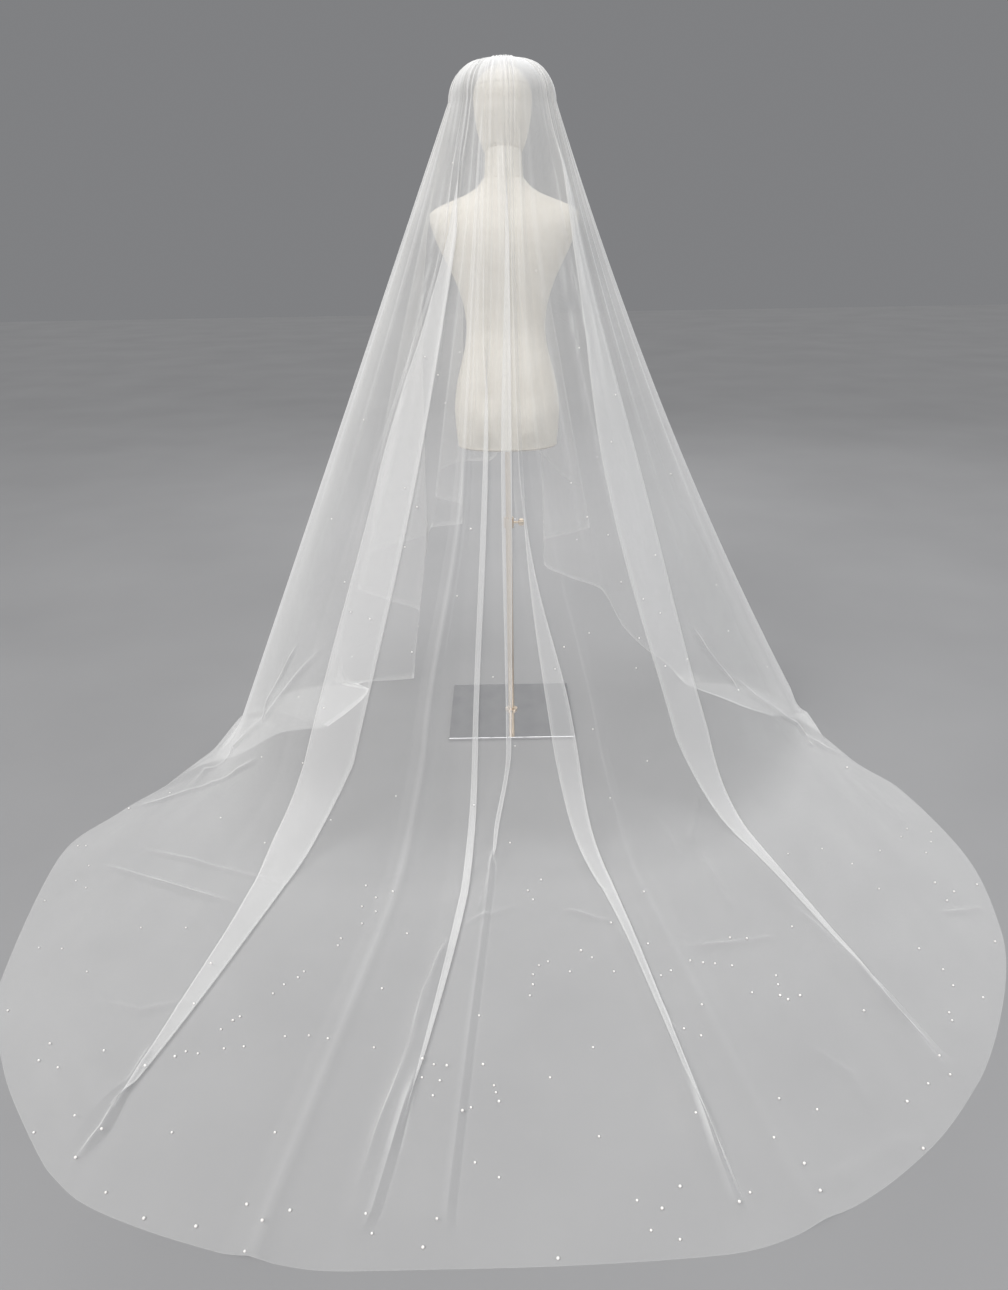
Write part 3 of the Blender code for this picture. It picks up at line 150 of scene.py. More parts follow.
def back_point(bearing, ring_bearing, r):
    """Middle of the back wall. r runs 0-1 over the crown, 1-2 down the fall,
    2-3 round the bend at the floor, 3-4 along the floor, 4-5 to the hem."""
    table = np.array(BACK_GUIDES)
    row = {name: hermite(table[:, 0], table[:, i], bearing)
           for i, name in enumerate(COLUMNS)}
    zero = np.zeros_like(bearing)
    angle = np.radians(bearing)
    ring_angle = np.radians(ring_bearing)
    dome = np.stack([DOME_SIDE * np.sin(angle), -DOME_BACK * np.cos(angle), zero + DOME_Z], -1)
    ring = np.stack([RING_SIDE * np.sin(ring_angle), -RING_DEPTH * np.cos(ring_angle),
                     RING_Z - RING_DROP * np.sin(ring_angle) ** 2], -1)
    lift = LAYER_STEP * row["lift"]
    foot = np.stack([row["foot_x"], row["foot_y"], FLOOR_LEVEL + lift], -1)
    turn = np.stack([row["turn_x"], row["turn_y"], FLOOR_LEVEL + lift], -1)
    hem = np.stack([row["hem_x"], row["hem_y"], zero + FLOOR_LEVEL], -1)
    fall = dome - foot
    fall_length = np.linalg.norm(fall, axis=-1, keepdims=True)
    knee_in = foot + fall * (row["before"][..., None] / fall_length)
    run = turn - foot
    run_length = np.linalg.norm(run, axis=-1, keepdims=True)
    knee_out = foot + run * np.minimum(0.8, row["after"][..., None] / run_length)

    r = np.broadcast_to(np.asarray(r, float), np.shape(bearing))
    arc = np.clip(r, 0, 1) * math.pi / 2
    point = ring + (dome - ring) * np.sin(arc)[..., None]
    point[..., 2] = dome[..., 2] + (ring[..., 2] - dome[..., 2]) * np.cos(arc)

    t = np.clip(r - 1, 0, 1)[..., None]
    falling = dome + (knee_in - dome) * t
    falling[..., 0] += row["bow"] * 4 * t[..., 0] * (1 - t[..., 0])
    point = np.where((r > 1)[..., None], falling, point)

    t = np.clip(r - 2, 0, 1)[..., None]
    bend = knee_in * (1 - t) ** 2 + 2 * foot * t * (1 - t) + knee_out * t**2
    point = np.where((r > 2)[..., None], bend, point)

    t = np.clip(r - 3, 0, 1)[..., None]
    point = np.where((r > 3)[..., None], knee_out + (turn - knee_out) * t, point)

    t = np.clip(r - 4, 0, 1)
    half = np.clip(t / 0.5, 0, 1)
    under = row["under"]
    out = run / run_length
    flat = turn + (hem - turn) * t[..., None]
    tucked = turn + out * (LAYER_STEP * np.sin(math.pi * half))[..., None]
    tucked = tucked + (hem - turn) * np.clip((t - 0.5) / 0.5, 0, 1)[..., None]
    tucked[..., 2] = FLOOR_LEVEL + lift * (1 + np.cos(math.pi * half)) / 2
    last = flat + (tucked - flat) * under[..., None]
    return np.where((r > 4)[..., None], last, point)


# How far down the cloth each fold position is read: r of the stations.
BACK_STATIONS = (1.20, 1.55, 1.95, 2.50, 3.30, 5.00)

# Folds of the back, in order along the cloth from its left side. A pleat
# doubles back at its first edge and again at its second; each edge is a row of
# bearings at the stations (high, waist, low, floor bend, train, hem). layers
# are the pleat's three plies, counted up from the innermost. A pleat dies out
# where its first edge lies below its second.
BACK_PLEATS = {
    "left_broad": {
        "first": (-33.0, -39.0, -46.0, -51.5, -54.6, -56.4),
        "second": (-40.0, -56.5, -59.5, -60.0, -58.2, -57.6),
        "layers": (2, 1, 0), "inner": 3, "ramp": 4.2, "spread": 0.026,
        "closes": (3.0, 3.97, 1.7)},
    "left_narrow": {
        "first": (-13.0, -9.6, -11.6, -11.2, -10.0, -12.6),
        "second": (-11.0, -12.0, -13.4, -13.2, -11.8, -14.2),
        "layers": (2, 1, 0), "inner": 1, "ramp": 4.5, "spread": 0.016,
        "closes": (3.1, 3.9, 1.0)},
    "centre_narrow": {
        "first": (3.0, 1.2, -0.6, -4.6, -6.0, -5.0),
        "second": (0.0, -3.6, -2.4, -5.8, -4.0, -3.0),
        "layers": (2, 1, 0), "inner": 1, "ramp": 4.0, "spread": 0.016,
        "closes": (2.9, 3.5, 1.0)},
    "right_narrow": {
        "first": (7.0, 7.0, 17.3, 18.3, 20.0, 18.8),
        "second": (9.0, 6.6, 10.6, 13.6, 17.8, 17.0),
        "layers": (2, 1, 0), "inner": 2, "ramp": 4.0, "spread": 0.018,
        "closes": (2.95, 3.95, 0.8)},
    "right_broad": {
        "first": (57.0, 59.5, 57.5, 56.8, 56.6, 56.3),
        "second": (50.0, 42.0, 47.5, 52.0, 55.2, 55.6),
        "layers": (2, 1, 0), "inner": 3, "ramp": 6.0, "spread": 0.024,
        "closes": (3.0, 3.85, 1.0)},
}

# Plain guides and soft ridges between the pleats: bearing at the stations and
# height in plies.
BACK_PLAIN = {
    "left_side": ((-90.0,) * 6, 0.0),
    "left_flap_a": ((-86.5,) * 6, 0.0),
    "left_flap_b": ((-83.0,) * 6, 0.0),
    "left_flap_c": ((-80.3,) * 6, 0.0),
    "left_flap_d": ((-78.3,) * 6, 0.0),
    "left_corner": ((-76.8,) * 6, 0.0),
    "left_corner_b": ((-75.0,) * 6, 0.0),
    "left_train_a": ((-72.0, -72.0, -72.5, -72.5, -72.0, -72.0), 0.0),
    "left_train_b": ((-69.5, -69.5, -70.0, -70.0, -69.0, -69.0), 0.0),
    "left_train_c": ((-67.0, -67.0, -67.8, -67.8, -66.6, -66.6), 0.0),
    "left_train_d": ((-64.9, -64.9, -66.0, -66.0, -64.6, -64.4), 0.0),
    "left_panel_a": ((-29.0, -33.5, -41.0, -46.0, -50.0, -51.0), 0.0),
    "left_panel_b": ((-25.5, -28.5, -35.0, -38.5, -41.0, -42.0), 0.0),
    "soft_left_in": ((-22.5, -23.5, -30.5, -32.0, -31.5, -32.0), 0.0),
    "soft_left": ((-20.5, -20.5, -27.5, -28.8, -28.0, -28.0), 1.8),
    "soft_left_out": ((-18.5, -18.0, -24.5, -25.5, -24.5, -24.0), 0.0),
    "right_panel_a": ((13.0, 13.0, 21.5, 22.5, 23.0, 22.5), 0.0),
    "soft_right": ((16.0, 17.0, 24.0, 26.0, 26.0, 26.0), 1.6),
    "right_panel_b": ((19.0, 21.0, 27.0, 29.5, 30.0, 30.0), 0.0),
    "right_panel_c": ((22.0, 28.0, 34.0, 38.0, 40.0, 40.0), 0.0),
    "right_train_a": ((61.0, 62.0, 60.5, 60.0, 59.3, 59.0), 0.0),
    "right_train_b": ((63.5, 64.5, 63.5, 63.0, 62.3, 62.0), 0.0),
    "right_train_d": ((66.5, 67.0, 66.5, 66.0, 65.5, 65.3), 0.0),
    "right_train_e": ((69.5,) * 6, 0.0),
    "right_train_c": ((72.5,) * 6, 0.0),
    "right_corner_a": ((77.0,) * 6, 0.0),
    "right_corner_b": ((81.0,) * 6, 0.0),
    "right_corner_c": ((83.6,) * 6, 0.0),
    "right_corner_d": ((85.2,) * 6, 0.0),
    "right_corner_e": ((87.0,) * 6, 0.0),
    "right_corner_f": ((88.5,) * 6, 0.0),
    "right_side": ((90.0,) * 6, 0.0),
}

BACK_ORDER = (
    "left_side", "left_flap_a", "left_flap_b", "left_flap_c", "left_flap_d",
    "left_corner", "left_corner_b", "left_train_a", "left_train_b", "left_train_c",
    "left_train_d", "left_broad", "left_panel_a", "left_panel_b",
    "soft_left_in", "soft_left", "soft_left_out", "left_narrow", "centre_narrow",
    "right_narrow", "right_panel_a", "soft_right", "right_panel_b", "right_panel_c",
    "right_broad", "right_train_a", "right_train_b", "right_train_d", "right_train_e",
    "right_train_c",
    "right_corner_a", "right_corner_b", "right_corner_c", "right_corner_d",
    "right_corner_e", "right_corner_f", "right_side",
)

BACK_ROWS = (0.0, 0.35, 0.68, 1.0, 1.05, 1.08, 1.11, 1.22, 1.38, 1.6, 1.8, 2.0, 2.35,
             2.7, 3.0, 3.3, 3.65, 4.0, 4.25, 4.5, 5.0)

FOLD_TURN = 4
# A pleat takes its shape over this much of the fall, below the crown.
PLEAT_GROWTH = 0.22
FOLD_RADIUS = LAYER_STEP / 2
CLEAR_DEGREES = 0.8

# A pleat stands up between these laps, in degrees. Its lap is fully folded once
# it is so many fold radii wide, and its plies are level between the two widths
# after that. Where it is half folded, its plies stand wider apart.
LAP_STANDING = (-3.0, -0.5)
LAP_FOLDED = 4.0
LAP_LEVEL = (2.0, 6.0)
HALF_FOLDED_SWELL = 1.2
# A pleat of the train narrows to a point between two rows, slowly at first
# where the power is over 1, and what is left of it lies down between these two.
NEVER_CLOSES = (90.0, 99.0, 1.0)
PLEAT_LIES = (3.9, 4.5)


def pleat_columns(pleat, stations, r, per_metre, grown):
    """Bearing and ply of each column of one pleat, at every r. grown rises from
    0 where the pleat leaves the gathers to 1 where it lies folded."""
    first = hermite(stations, pleat["first"], r)
    second = hermite(stations, pleat["second"], r)
    l_in, l_mid, l_out = pleat["layers"]
    inner = pleat["inner"]
    radius = FOLD_RADIUS * per_metre
    centre = (first + second) / 2
    start, end, power = pleat.get("closes", NEVER_CLOSES)
    closing = np.clip((r - start) / (end - start), 0.0, 1.0) ** power
    first = centre + (first - centre) * (1 - closing)
    second = centre + (second - centre) * (1 - closing)
    overlap = first - second
    folded = ease(0.0, LAP_FOLDED, overlap / radius) * ease(0.15, 1.0, grown)
    level = ease(*LAP_LEVEL, overlap / radius) * ease(0.5, 1.0, grown)
    standing = ease(*LAP_STANDING, overlap) * ease(0.0, 0.35, grown)
    standing = standing * (1 + HALF_FOLDED_SWELL * 4 * folded * (1 - folded))
    standing = standing * (1 - 0.96 * ease(*PLEAT_LIES, r))
    turns = [math.pi / 2 - math.pi * k / (FOLD_TURN - 1) for k in range(FOLD_TURN)]

    rows = []
    for k in range(inner):
        share = k / inner
        rows.append((second + (first - radius - second) * share, l_in))
    for a in turns:
        rows.append((first - radius * (1 - math.cos(a)),
                     (l_in + l_mid) / 2 + (l_in - l_mid) / 2 * math.sin(a)))
    for k in range(1, inner):
        share = k / inner
        rows.append((first - radius + (second - first + 2 * radius) * share, l_mid))
    for a in turns:
        rows.append((second + radius * (1 - math.cos(a)),
                     (l_mid + l_out) / 2 + (l_mid - l_out) / 2 * math.sin(a)))
    for k in range(1, inner + 1):
        share = k / inner
        rows.append((second + radius + (first - second - radius) * share, l_out))

    spread = np.maximum(pleat["spread"] * per_metre, np.abs(overlap))
    columns = []
    count = len(rows)
    for k, (bearing, layer) in enumerate(rows):
        share = k / (count - 1)
        flat_bearing = centre + spread * (share - 0.5)
        flat_layer = l_in + (l_out - l_in) * share
        columns.append((flat_bearing + (bearing - flat_bearing) * folded,
                        (flat_layer + (layer - flat_layer) * level) * standing))
    return columns


def cloth_columns(order, pleats, plain, stations, r, per_metre, grown):
    """Bearings, plies and hem values of all the columns, one row for each."""
    bearings, layers, hems = [], [], []
    reached = None
    for name in order:
        if name in pleats:
            pleat = pleats[name]
            middle = sum(pleat["first"] + pleat["second"]) / (2 * len(stations))
            unit = pleat_columns(pleat, stations, r, per_metre(middle, r), grown)
            ramp, base = pleat["ramp"], pleat.get("base", 0)
            marks = np.linspace(0, 1, len(pleat.get("hem", (0, 0))))
            hem = [float(np.interp(k / (len(unit) - 1), marks, pleat.get("hem", (0, 0))))
                   for k in range(len(unit))]
            lead = pleat["layers"][0] > base
        else:
            row = plain[name]
            unit = [(hermite(stations, row[0], r), row[1] + 0 * r)]
            hem = [row[2] if len(row) > 2 else 0.0]
            ramp, lead = 0, False
        low = np.min([u[0] for u in unit], axis=0)
        if reached is not None:
            push = np.maximum(0, reached + CLEAR_DEGREES - low)
            unit = [(b + push, n) for b, n in unit]
            low = low + push
        if lead and ramp:
            foot = low - ramp
            if reached is not None:
                foot = np.maximum(foot, reached + CLEAR_DEGREES / 2)
            rise = unit[0][1] - base
            for share, height in ((0.0, 0.0), (0.5, 0.5)):
                bearings.append(foot + (low - foot) * share)
                layers.append(base + rise * height)
                hems.append(hem[0])
        for (b, n), h in zip(unit, hem):
            bearings.append(b)
            layers.append(n)
            hems.append(h)
        reached = np.max([u[0] for u in unit], axis=0)
    return np.array(bearings), np.array(layers), np.array(hems)


# Front of the veil: it falls before the form and its cut edge rises from the
# floor at each side to hip height at the centre. The same columns as the back.
FRONT_GUIDES = (
    (90.0, 0.913, 0.013, 0.868, -0.022, 0.815, -0.060, -0.043, 0.070, 0.050),
    (98.0, 0.885, 0.115, 0.820, 0.055, 0.745, 0.000, -0.040, 0.070, 0.050),
    (106.0, 0.800, 0.190, 0.745, 0.140, 0.675, 0.085, -0.030, 0.070, 0.050),
    (114.0, 0.670, 0.225, 0.630, 0.195, 0.590, 0.160, -0.020, 0.070, 0.050),
    (122.0, 0.540, 0.240, 0.520, 0.220, 0.495, 0.200, -0.010, 0.070, 0.050),
    (135.0, 0.375, 0.245, 0.360, 0.230, 0.340, 0.210, 0.000, 0.070, 0.050),
    (150.0, 0.220, 0.240, 0.210, 0.230, 0.200, 0.210, 0.000, 0.070, 0.050),
    (180.0, 0.000, 0.235, 0.000, 0.220, 0.000, 0.200, 0.000, 0.070, 0.050),
    (210.0, -0.220, 0.240, -0.210, 0.230, -0.200, 0.210, 0.000, 0.070, 0.050),
    (225.0, -0.365, 0.250, -0.350, 0.235, -0.335, 0.215, 0.000, 0.070, 0.050),
    (238.0, -0.510, 0.258, -0.465, 0.250, -0.425, 0.235, 0.000, 0.070, 0.050),
    (246.0, -0.605, 0.258, -0.530, 0.225, -0.460, 0.195, 0.000, 0.070, 0.050),
    (254.0, -0.700, 0.240, -0.595, 0.170, -0.490, 0.105, 0.000, 0.070, 0.050),
    (262.0, -0.778, 0.195, -0.660, 0.110, -0.525, 0.015, 0.000, 0.070, 0.050),
    (270.0, -0.812, 0.130, -0.740, 0.045, -0.570, -0.080, 0.000, 0.070, 0.050),
)

# Heights at which the front's folds are read.
FRONT_HEIGHTS = (0.40, 0.90, 1.40)

# Bearings of the two edges at those heights, lowest first. hem runs along the
# pleat from where it begins to where it ends: the height of the cut edge, or
# below zero the share of the floor run that is laid out.
FRONT_PLEATS = {
    "right_fall": {
        "first": (161.0, 158.0, 146.0),
        "second": (137.0, 141.0, 149.0),
        "layers": (0, 1, 2), "inner": 2, "ramp": 0, "base": 0, "spread": 0.040,
        "hem": (0.33, 0.42, 0.485, 0.52, 0.569, 0.66, 0.78)},
    "left_upper": {
        "first": (221.0, 219.0, 212.0),
        "second": (204.5, 208.0, 214.0),
        "layers": (4, 3, 2), "inner": 1, "ramp": 16.0, "base": 2, "spread": 0.030,
        "hem": (0.76, 0.70, 0.66, 0.61, 0.57, 0.55)},
    "left_lower": {
        "first": (242.0, 247.0, 249.0),
        "second": (219.0, 229.0, 245.5),
        "layers": (2, 1, 0), "inner": 2, "ramp": 0, "base": 2, "spread": 0.040,
        "hem": (0.53, 0.47, 0.40, 0.30, 0.22, -0.10, -0.50)},
}

FRONT_PLAIN = {
    "right_side": ((90.0,) * 3, 0.0, -1.0),
    "right_floor_a": ((94.0,) * 3, 0.0, -1.0),
    "right_floor_b": ((98.5,) * 3, 0.0, -1.0),
    "right_floor_c": ((103.5,) * 3, 0.0, -1.0),
    "right_floor_d": ((109.0,) * 3, 0.0, -1.0),
    "right_lift_a": ((115.0,) * 3, 0.0, -0.8),
    "right_lift_b": ((121.0, 121.0, 121.5), 0.0, 0.03),
    "right_lift_c": ((127.0, 127.0, 128.0), 0.0, 0.12),
    "right_lift_d": ((132.0, 134.0, 136.0), 0.0, 0.20),
    "centre_right": ((170.0, 170.0, 168.0), 2.0, 0.81),
    "centre": ((181.0, 181.0, 182.0), 2.0, 0.805),
    "left_floor_a": ((247.0, 250.0, 252.0), 0.0, -0.9),
    "left_floor_b": ((252.5, 254.0, 255.5), 0.0, -1.0),
    "left_floor_c": ((258.5, 259.0, 260.0), 0.0, -1.0),
    "left_floor_d": ((264.5,) * 3, 0.0, -1.0),
    "left_side": ((270.0,) * 3, 0.0, -1.0),
}

FRONT_ORDER = (
    "right_side", "right_floor_a", "right_floor_b", "right_floor_c", "right_floor_d",
    "right_lift_a", "right_lift_b", "right_lift_c", "right_lift_d", "right_fall",
    "centre_right", "centre", "left_upper", "left_lower", "left_floor_a",
    "left_floor_b", "left_floor_c", "left_floor_d", "left_side",
)

# Rows of the front: over the crown, level rows above the highest part of the
# hem, rows down to the bend, and rows round the bend to the hem.
PROBE_HEIGHTS = 86
LEAST_DEGREE = 1e-4
FRONT_LEVEL_ROWS = (0.08, 0.16, 0.24, 0.32, 0.40)
FRONT_FALL_ROWS = (0.60, 0.80, 1.00)
FRONT_TAIL_ROWS = (2.35, 2.70, 3.00, 3.55, 4.00, 4.25, 4.50, 5.00)


def degrees_per_metre(left, right):
    """From points half a degree to either side."""
    return 1.0 / np.maximum(np.linalg.norm(right - left, axis=-1), LEAST_DEGREE)


def back_degrees_per_metre(bearing, r):
    low, high = np.full_like(r, bearing - 0.5), np.full_like(r, bearing + 0.5)
    return degrees_per_metre(back_point(low, low, r), back_point(high, high, r))


def front_degrees_per_metre(bearing, height):
    low, high = np.full_like(height, bearing - 0.5), np.full_like(height, bearing + 0.5)
    return degrees_per_metre(front_base(low, height), front_base(high, height))


def outward(point, bearing, ring, r, step_b=0.6, step_r=0.02):
    """Unit normals of a surface, away from the form and up from the floor."""
    across = point(bearing + step_b, ring + step_b, r) - point(bearing - step_b, ring - step_b, r)
    r_low = np.maximum(r - step_r, 0.0)
    r_high = np.minimum(r + step_r, 5.0)
    along = point(bearing, ring, r_high) - point(bearing, ring, r_low)
    normal = np.cross(along, across)
    return normal / np.maximum(np.linalg.norm(normal, axis=-1, keepdims=True), 1e-12)


def gathers(count, r, columns_per_wave):
    """Small waves below the heading, widest a third of the way over the crown."""
    k = np.arange(count)[:, None]
    phase = 2 * math.pi * k / columns_per_wave
    inside = np.clip(np.minimum(k, count - 1 - k) / columns_per_wave, 0, 1)
    depth = GATHER_DEPTH + (GATHER_SPREAD - GATHER_DEPTH) * ease(0, 0.6, r)
    return np.sin(phase) * inside * depth * (1 - ease(0.7, 1.6, r))


def back_grid(rows, columns_per_wave=GATHER_COLUMNS):
    r = np.array(rows, float)
    bearing, layer, _ = cloth_columns(
        BACK_ORDER, BACK_PLEATS, BACK_PLAIN, BACK_STATIONS, np.maximum(r, 1.0),
        back_degrees_per_metre,
        np.clip((r - 1.0) / PLEAT_GROWTH, 0.0, 1.0))
    count = len(bearing)
    even = ring_angles(-90.0, 90.0, count)[:, None] + 0 * r
    layer = layer * ease(1.0, 1.11, r)
    grid_r = np.broadcast_to(r, bearing.shape)
    points = back_point(bearing, even, grid_r)
    height = layer * LAYER_STEP + gathers(count, r, columns_per_wave)
    flat = r >= 4.0
    height = np.where(flat[None, :] & (layer < 0.01), 0.0, height)
    return points + outward(back_point, bearing, even, grid_r) * height[..., None]


def front_base(bearing, height):
    """Middle of the front wall at a height above its bend, without plies."""
    row = front_row(bearing)
    angle = np.radians(bearing)
    dome = np.stack([DOME_SIDE * np.sin(angle), -DOME_FRONT * np.cos(angle),
                     0 * angle + DOME_Z], -1)
    foot = np.stack([row["foot_x"], row["foot_y"], 0 * angle + FLOOR_LEVEL], -1)
    fall = dome - foot
    knee = foot + fall * (row["before"] / np.linalg.norm(fall, axis=-1))[..., None]
    t = (DOME_Z - height) / (DOME_Z - knee[..., 2])
    point = dome + (knee - dome) * t[..., None]
    bend = np.clip(t, 0, 1)
    point[..., 0] += row["bow"] * 4 * bend * (1 - bend)
    return point


def front_row(bearing):
    table = np.array(FRONT_GUIDES)
    return {name: hermite(table[:, 0], table[:, i], bearing)
            for i, name in enumerate(COLUMNS[:10])}


def resample(points, shares):
    """Points at the given shares of a polyline's length."""
    steps = np.linalg.norm(np.diff(points, axis=0), axis=1)
    length = np.concatenate([[0], np.cumsum(steps)])
    return np.stack([np.interp(np.array(shares) * length[-1], length, points[:, i])
                     for i in range(3)], -1)


def front_grid(dome_rows=BACK_ROWS[:4], level_rows=FRONT_LEVEL_ROWS, fall_rows=FRONT_FALL_ROWS,
               tail_rows=FRONT_TAIL_ROWS):
    probe = np.linspace(0.0, DOME_Z, PROBE_HEIGHTS)

    bearing, layer, hem = cloth_columns(
        FRONT_ORDER, FRONT_PLEATS, FRONT_PLAIN, FRONT_HEIGHTS,
        np.clip(probe, FRONT_HEIGHTS[0], FRONT_HEIGHTS[-1]), front_degrees_per_metre,
        np.clip((1.0 - probe / DOME_Z) / PLEAT_GROWTH, 0.0, 1.0))
    count = len(bearing)
    even = ring_angles(90.0, 270.0, count)
    layer = layer * (1 - ease(1.52, DOME_Z, probe))
    waves = gathers(count, np.array(dome_rows), GATHER_COLUMNS / 2)

    side_shares = []
    for at, back in ((90.0, 90.0), (270.0, -90.0)):
        column = back_point(np.full(len(tail_rows) + 1, back), np.full(len(tail_rows) + 1, back),
                            np.array((2.0,) + tuple(tail_rows)))
        steps = np.linalg.norm(np.diff(column, axis=0), axis=1)
        side_shares.append(np.cumsum(steps) / steps.sum())

    grid = []
    for k in range(count):
        share = k / (count - 1)
        shares = side_shares[0] + (side_shares[1] - side_shares[0]) * share
        grid.append(front_column(bearing[k], layer[k], hem[k], even[k], probe,
                                 dome_rows, level_rows, fall_rows, shares, waves[k]))
    grid = np.array(grid)
    rows = np.array(tuple(dome_rows) + tuple(1 + f for f in level_rows + fall_rows)
                    + tuple(tail_rows))
    for edge, inner, side in ((0, 1, 90.0), (-1, -2, -90.0)):
        seam = back_point(np.full(len(rows), side), np.full(len(rows), side), rows)
        along = np.gradient(seam, axis=0)
        along /= np.linalg.norm(along, axis=-1, keepdims=True)
        away = grid[inner] - seam
        away -= along * np.sum(away * along, axis=-1, keepdims=True)
        away /= np.linalg.norm(away, axis=-1, keepdims=True)
        gap = SEAM_GAP * (2 + 2 * (1 - ease(0.0, 0.8, rows)))
        grid[edge] = seam + away * gap[:, None]
    return grid


def front_column(bearings, layers, hem, ring_bearing, probe, dome_rows, level_rows, fall_rows,
                 shares, waves):
    """One column from the heading over the crown, down the front and to its hem."""
    low = np.interp(np.array(FRONT_HEIGHTS[:1]), probe, bearings)
    row = front_row(low)
    laid = float(np.clip(-hem, 0, 1))
    knee_z = knee_height(low)
    end_z = max(hem, knee_z)
    top_share = 1 - 0.25 * float(ease(-1.0, 0.3, hem))
    tail_top = DOME_Z - (DOME_Z - end_z) * top_share

    def fall(z):
        z = np.atleast_1d(np.asarray(z, float))
        b = np.interp(z, probe, bearings)
        point = front_base(b, z)
        across = front_base(b + 0.6, z) - front_base(b - 0.6, z)
        along = front_base(b, z - 0.02) - front_base(b, z + 0.02)
        normal = np.cross(along, across)
        normal /= np.linalg.norm(normal, axis=-1, keepdims=True)
        return point + normal * (np.interp(z, probe, layers) * LAYER_STEP)[:, None]

    dome = fall(DOME_Z)[0]
    angle = math.radians(ring_bearing)
    ring = np.array([RING_SIDE * math.sin(angle), -RING_DEPTH * math.cos(angle),
                     RING_Z - RING_DROP * math.sin(angle) ** 2])
    points = []
    for r, wave in zip(dome_rows, waves):
        arc = r * math.pi / 2
        point = ring + (dome - ring) * math.sin(arc)
        point[2] = dome[2] + (ring[2] - dome[2]) * math.cos(arc)
        out = np.array([math.sin(angle) * math.sin(arc), -math.cos(angle) * math.sin(arc),
                        math.cos(arc)])
        points.append(point + out * wave)
    points.extend(fall(DOME_Z + (knee_z - DOME_Z) * np.array(level_rows)))
    level_z = DOME_Z + (knee_z - DOME_Z) * level_rows[-1]
    share = (np.array(fall_rows) - level_rows[-1]) / (1 - level_rows[-1])
    points.extend(fall(level_z + (tail_top - level_z) * share))

    tail = list(fall(np.linspace(tail_top, end_z, 9)))
    if hem <= knee_z:
        foot = np.array([row["foot_x"][0], row["foot_y"][0], FLOOR_LEVEL])
        turn = np.array([row["turn_x"][0], row["turn_y"][0], FLOOR_LEVEL])
        edge = np.array([row["hem_x"][0], row["hem_y"][0], FLOOR_LEVEL])
        knee = fall(end_z)[0]
        run = turn - foot
        after = foot + run * min(0.8, row["after"][0] / np.linalg.norm(run))
        bend = [knee * (1 - t) ** 2 + 2 * foot * t * (1 - t) + after * t**2
                for t in np.linspace(0, 1, 9)[1:]]
        path = np.array([knee] + bend + [turn, edge])
        steps = np.linalg.norm(np.diff(path, axis=0), axis=1)
        length = np.concatenate([[0], np.cumsum(steps)])
        bend_length = length[4]
        keep = bend_length + (length[-1] - bend_length) * laid
        if hem > 0:
            keep = bend_length * (1 - hem / knee_z)
        cut = [path[i] for i in range(len(path)) if length[i] < keep - 1e-6]
        cut.append(np.array([np.interp(keep, length, path[:, i]) for i in range(3)]))
        tail = tail + cut[1:]
    tail = np.array(tail)
    points.extend(resample(tail, shares))
    return points


def knee_height(bearing):
    row = front_row(bearing)
    angle = np.radians(bearing)
    dome = np.array([DOME_SIDE * np.sin(angle)[0], -DOME_FRONT * np.cos(angle)[0], DOME_Z])
    foot = np.array([row["foot_x"][0], row["foot_y"][0], FLOOR_LEVEL])
    fall = dome - foot
    return foot[2] + fall[2] * row["before"][0] / np.linalg.norm(fall)


# Dress form. Each section is a height, half width, depth in front of the pole
# and depth behind it.
TORSO_SECTIONS = (
    # height, half width, front, back
    (0.8470, 0.134, 0.098, 0.104),
    (0.8520, 0.138, 0.102, 0.108),
    (0.9000, 0.143, 0.108, 0.116),
    (0.9470, 0.145, 0.111, 0.119),
    (1.0100, 0.138, 0.106, 0.111),
    (1.0790, 0.121, 0.095, 0.094),
    (1.1250, 0.110, 0.087, 0.080),
    (1.1650, 0.106, 0.084, 0.073),
    (1.2100, 0.110, 0.091, 0.075),
    (1.2600, 0.123, 0.107, 0.082),
    (1.3000, 0.139, 0.120, 0.089),
    (1.3350, 0.157, 0.123, 0.095),
    (1.3750, 0.176, 0.112, 0.098),
    (1.4080, 0.188, 0.097, 0.096),
    (1.4300, 0.194, 0.083, 0.090),
    (1.4470, 0.194, 0.071, 0.083),
    (1.4580, 0.183, 0.065, 0.077),
    (1.4680, 0.163, 0.061, 0.072),
    (1.4800, 0.132, 0.058, 0.067),
    (1.4920, 0.100, 0.055, 0.062),
    (1.5080, 0.072, 0.052, 0.058),
    (1.5300, 0.052, 0.050, 0.053),
)
TORSO_SIDES = 32
TORSO_SQUARENESS = 2.35

NECK_SECTIONS = (
    (1.5303, 0.0510, 0.049, 0.052),
    (1.5450, 0.0490, 0.048, 0.050),
    (1.5650, 0.0480, 0.048, 0.049),
    (1.5900, 0.0465, 0.048, 0.048),
)
HEAD_SECTIONS = (
    (1.5903, 0.0470, 0.060, 0.0485),
    (1.6020, 0.0530, 0.074, 0.0590),
    (1.6200, 0.0600, 0.084, 0.0710),
    (1.6450, 0.0665, 0.092, 0.0840),
    (1.6750, 0.0715, 0.097, 0.0940),
)
FORM_ROUNDNESS = 2.0
NECK_TILT = -0.28
HEAD_SIDES = 28
HEAD_WIDEST_Z = 1.708
HEAD_HALF_WIDTH = 0.0735
HEAD_HALF_DEPTH = 0.098
HEAD_RISE = 0.076
HEAD_DOME_RINGS = 8

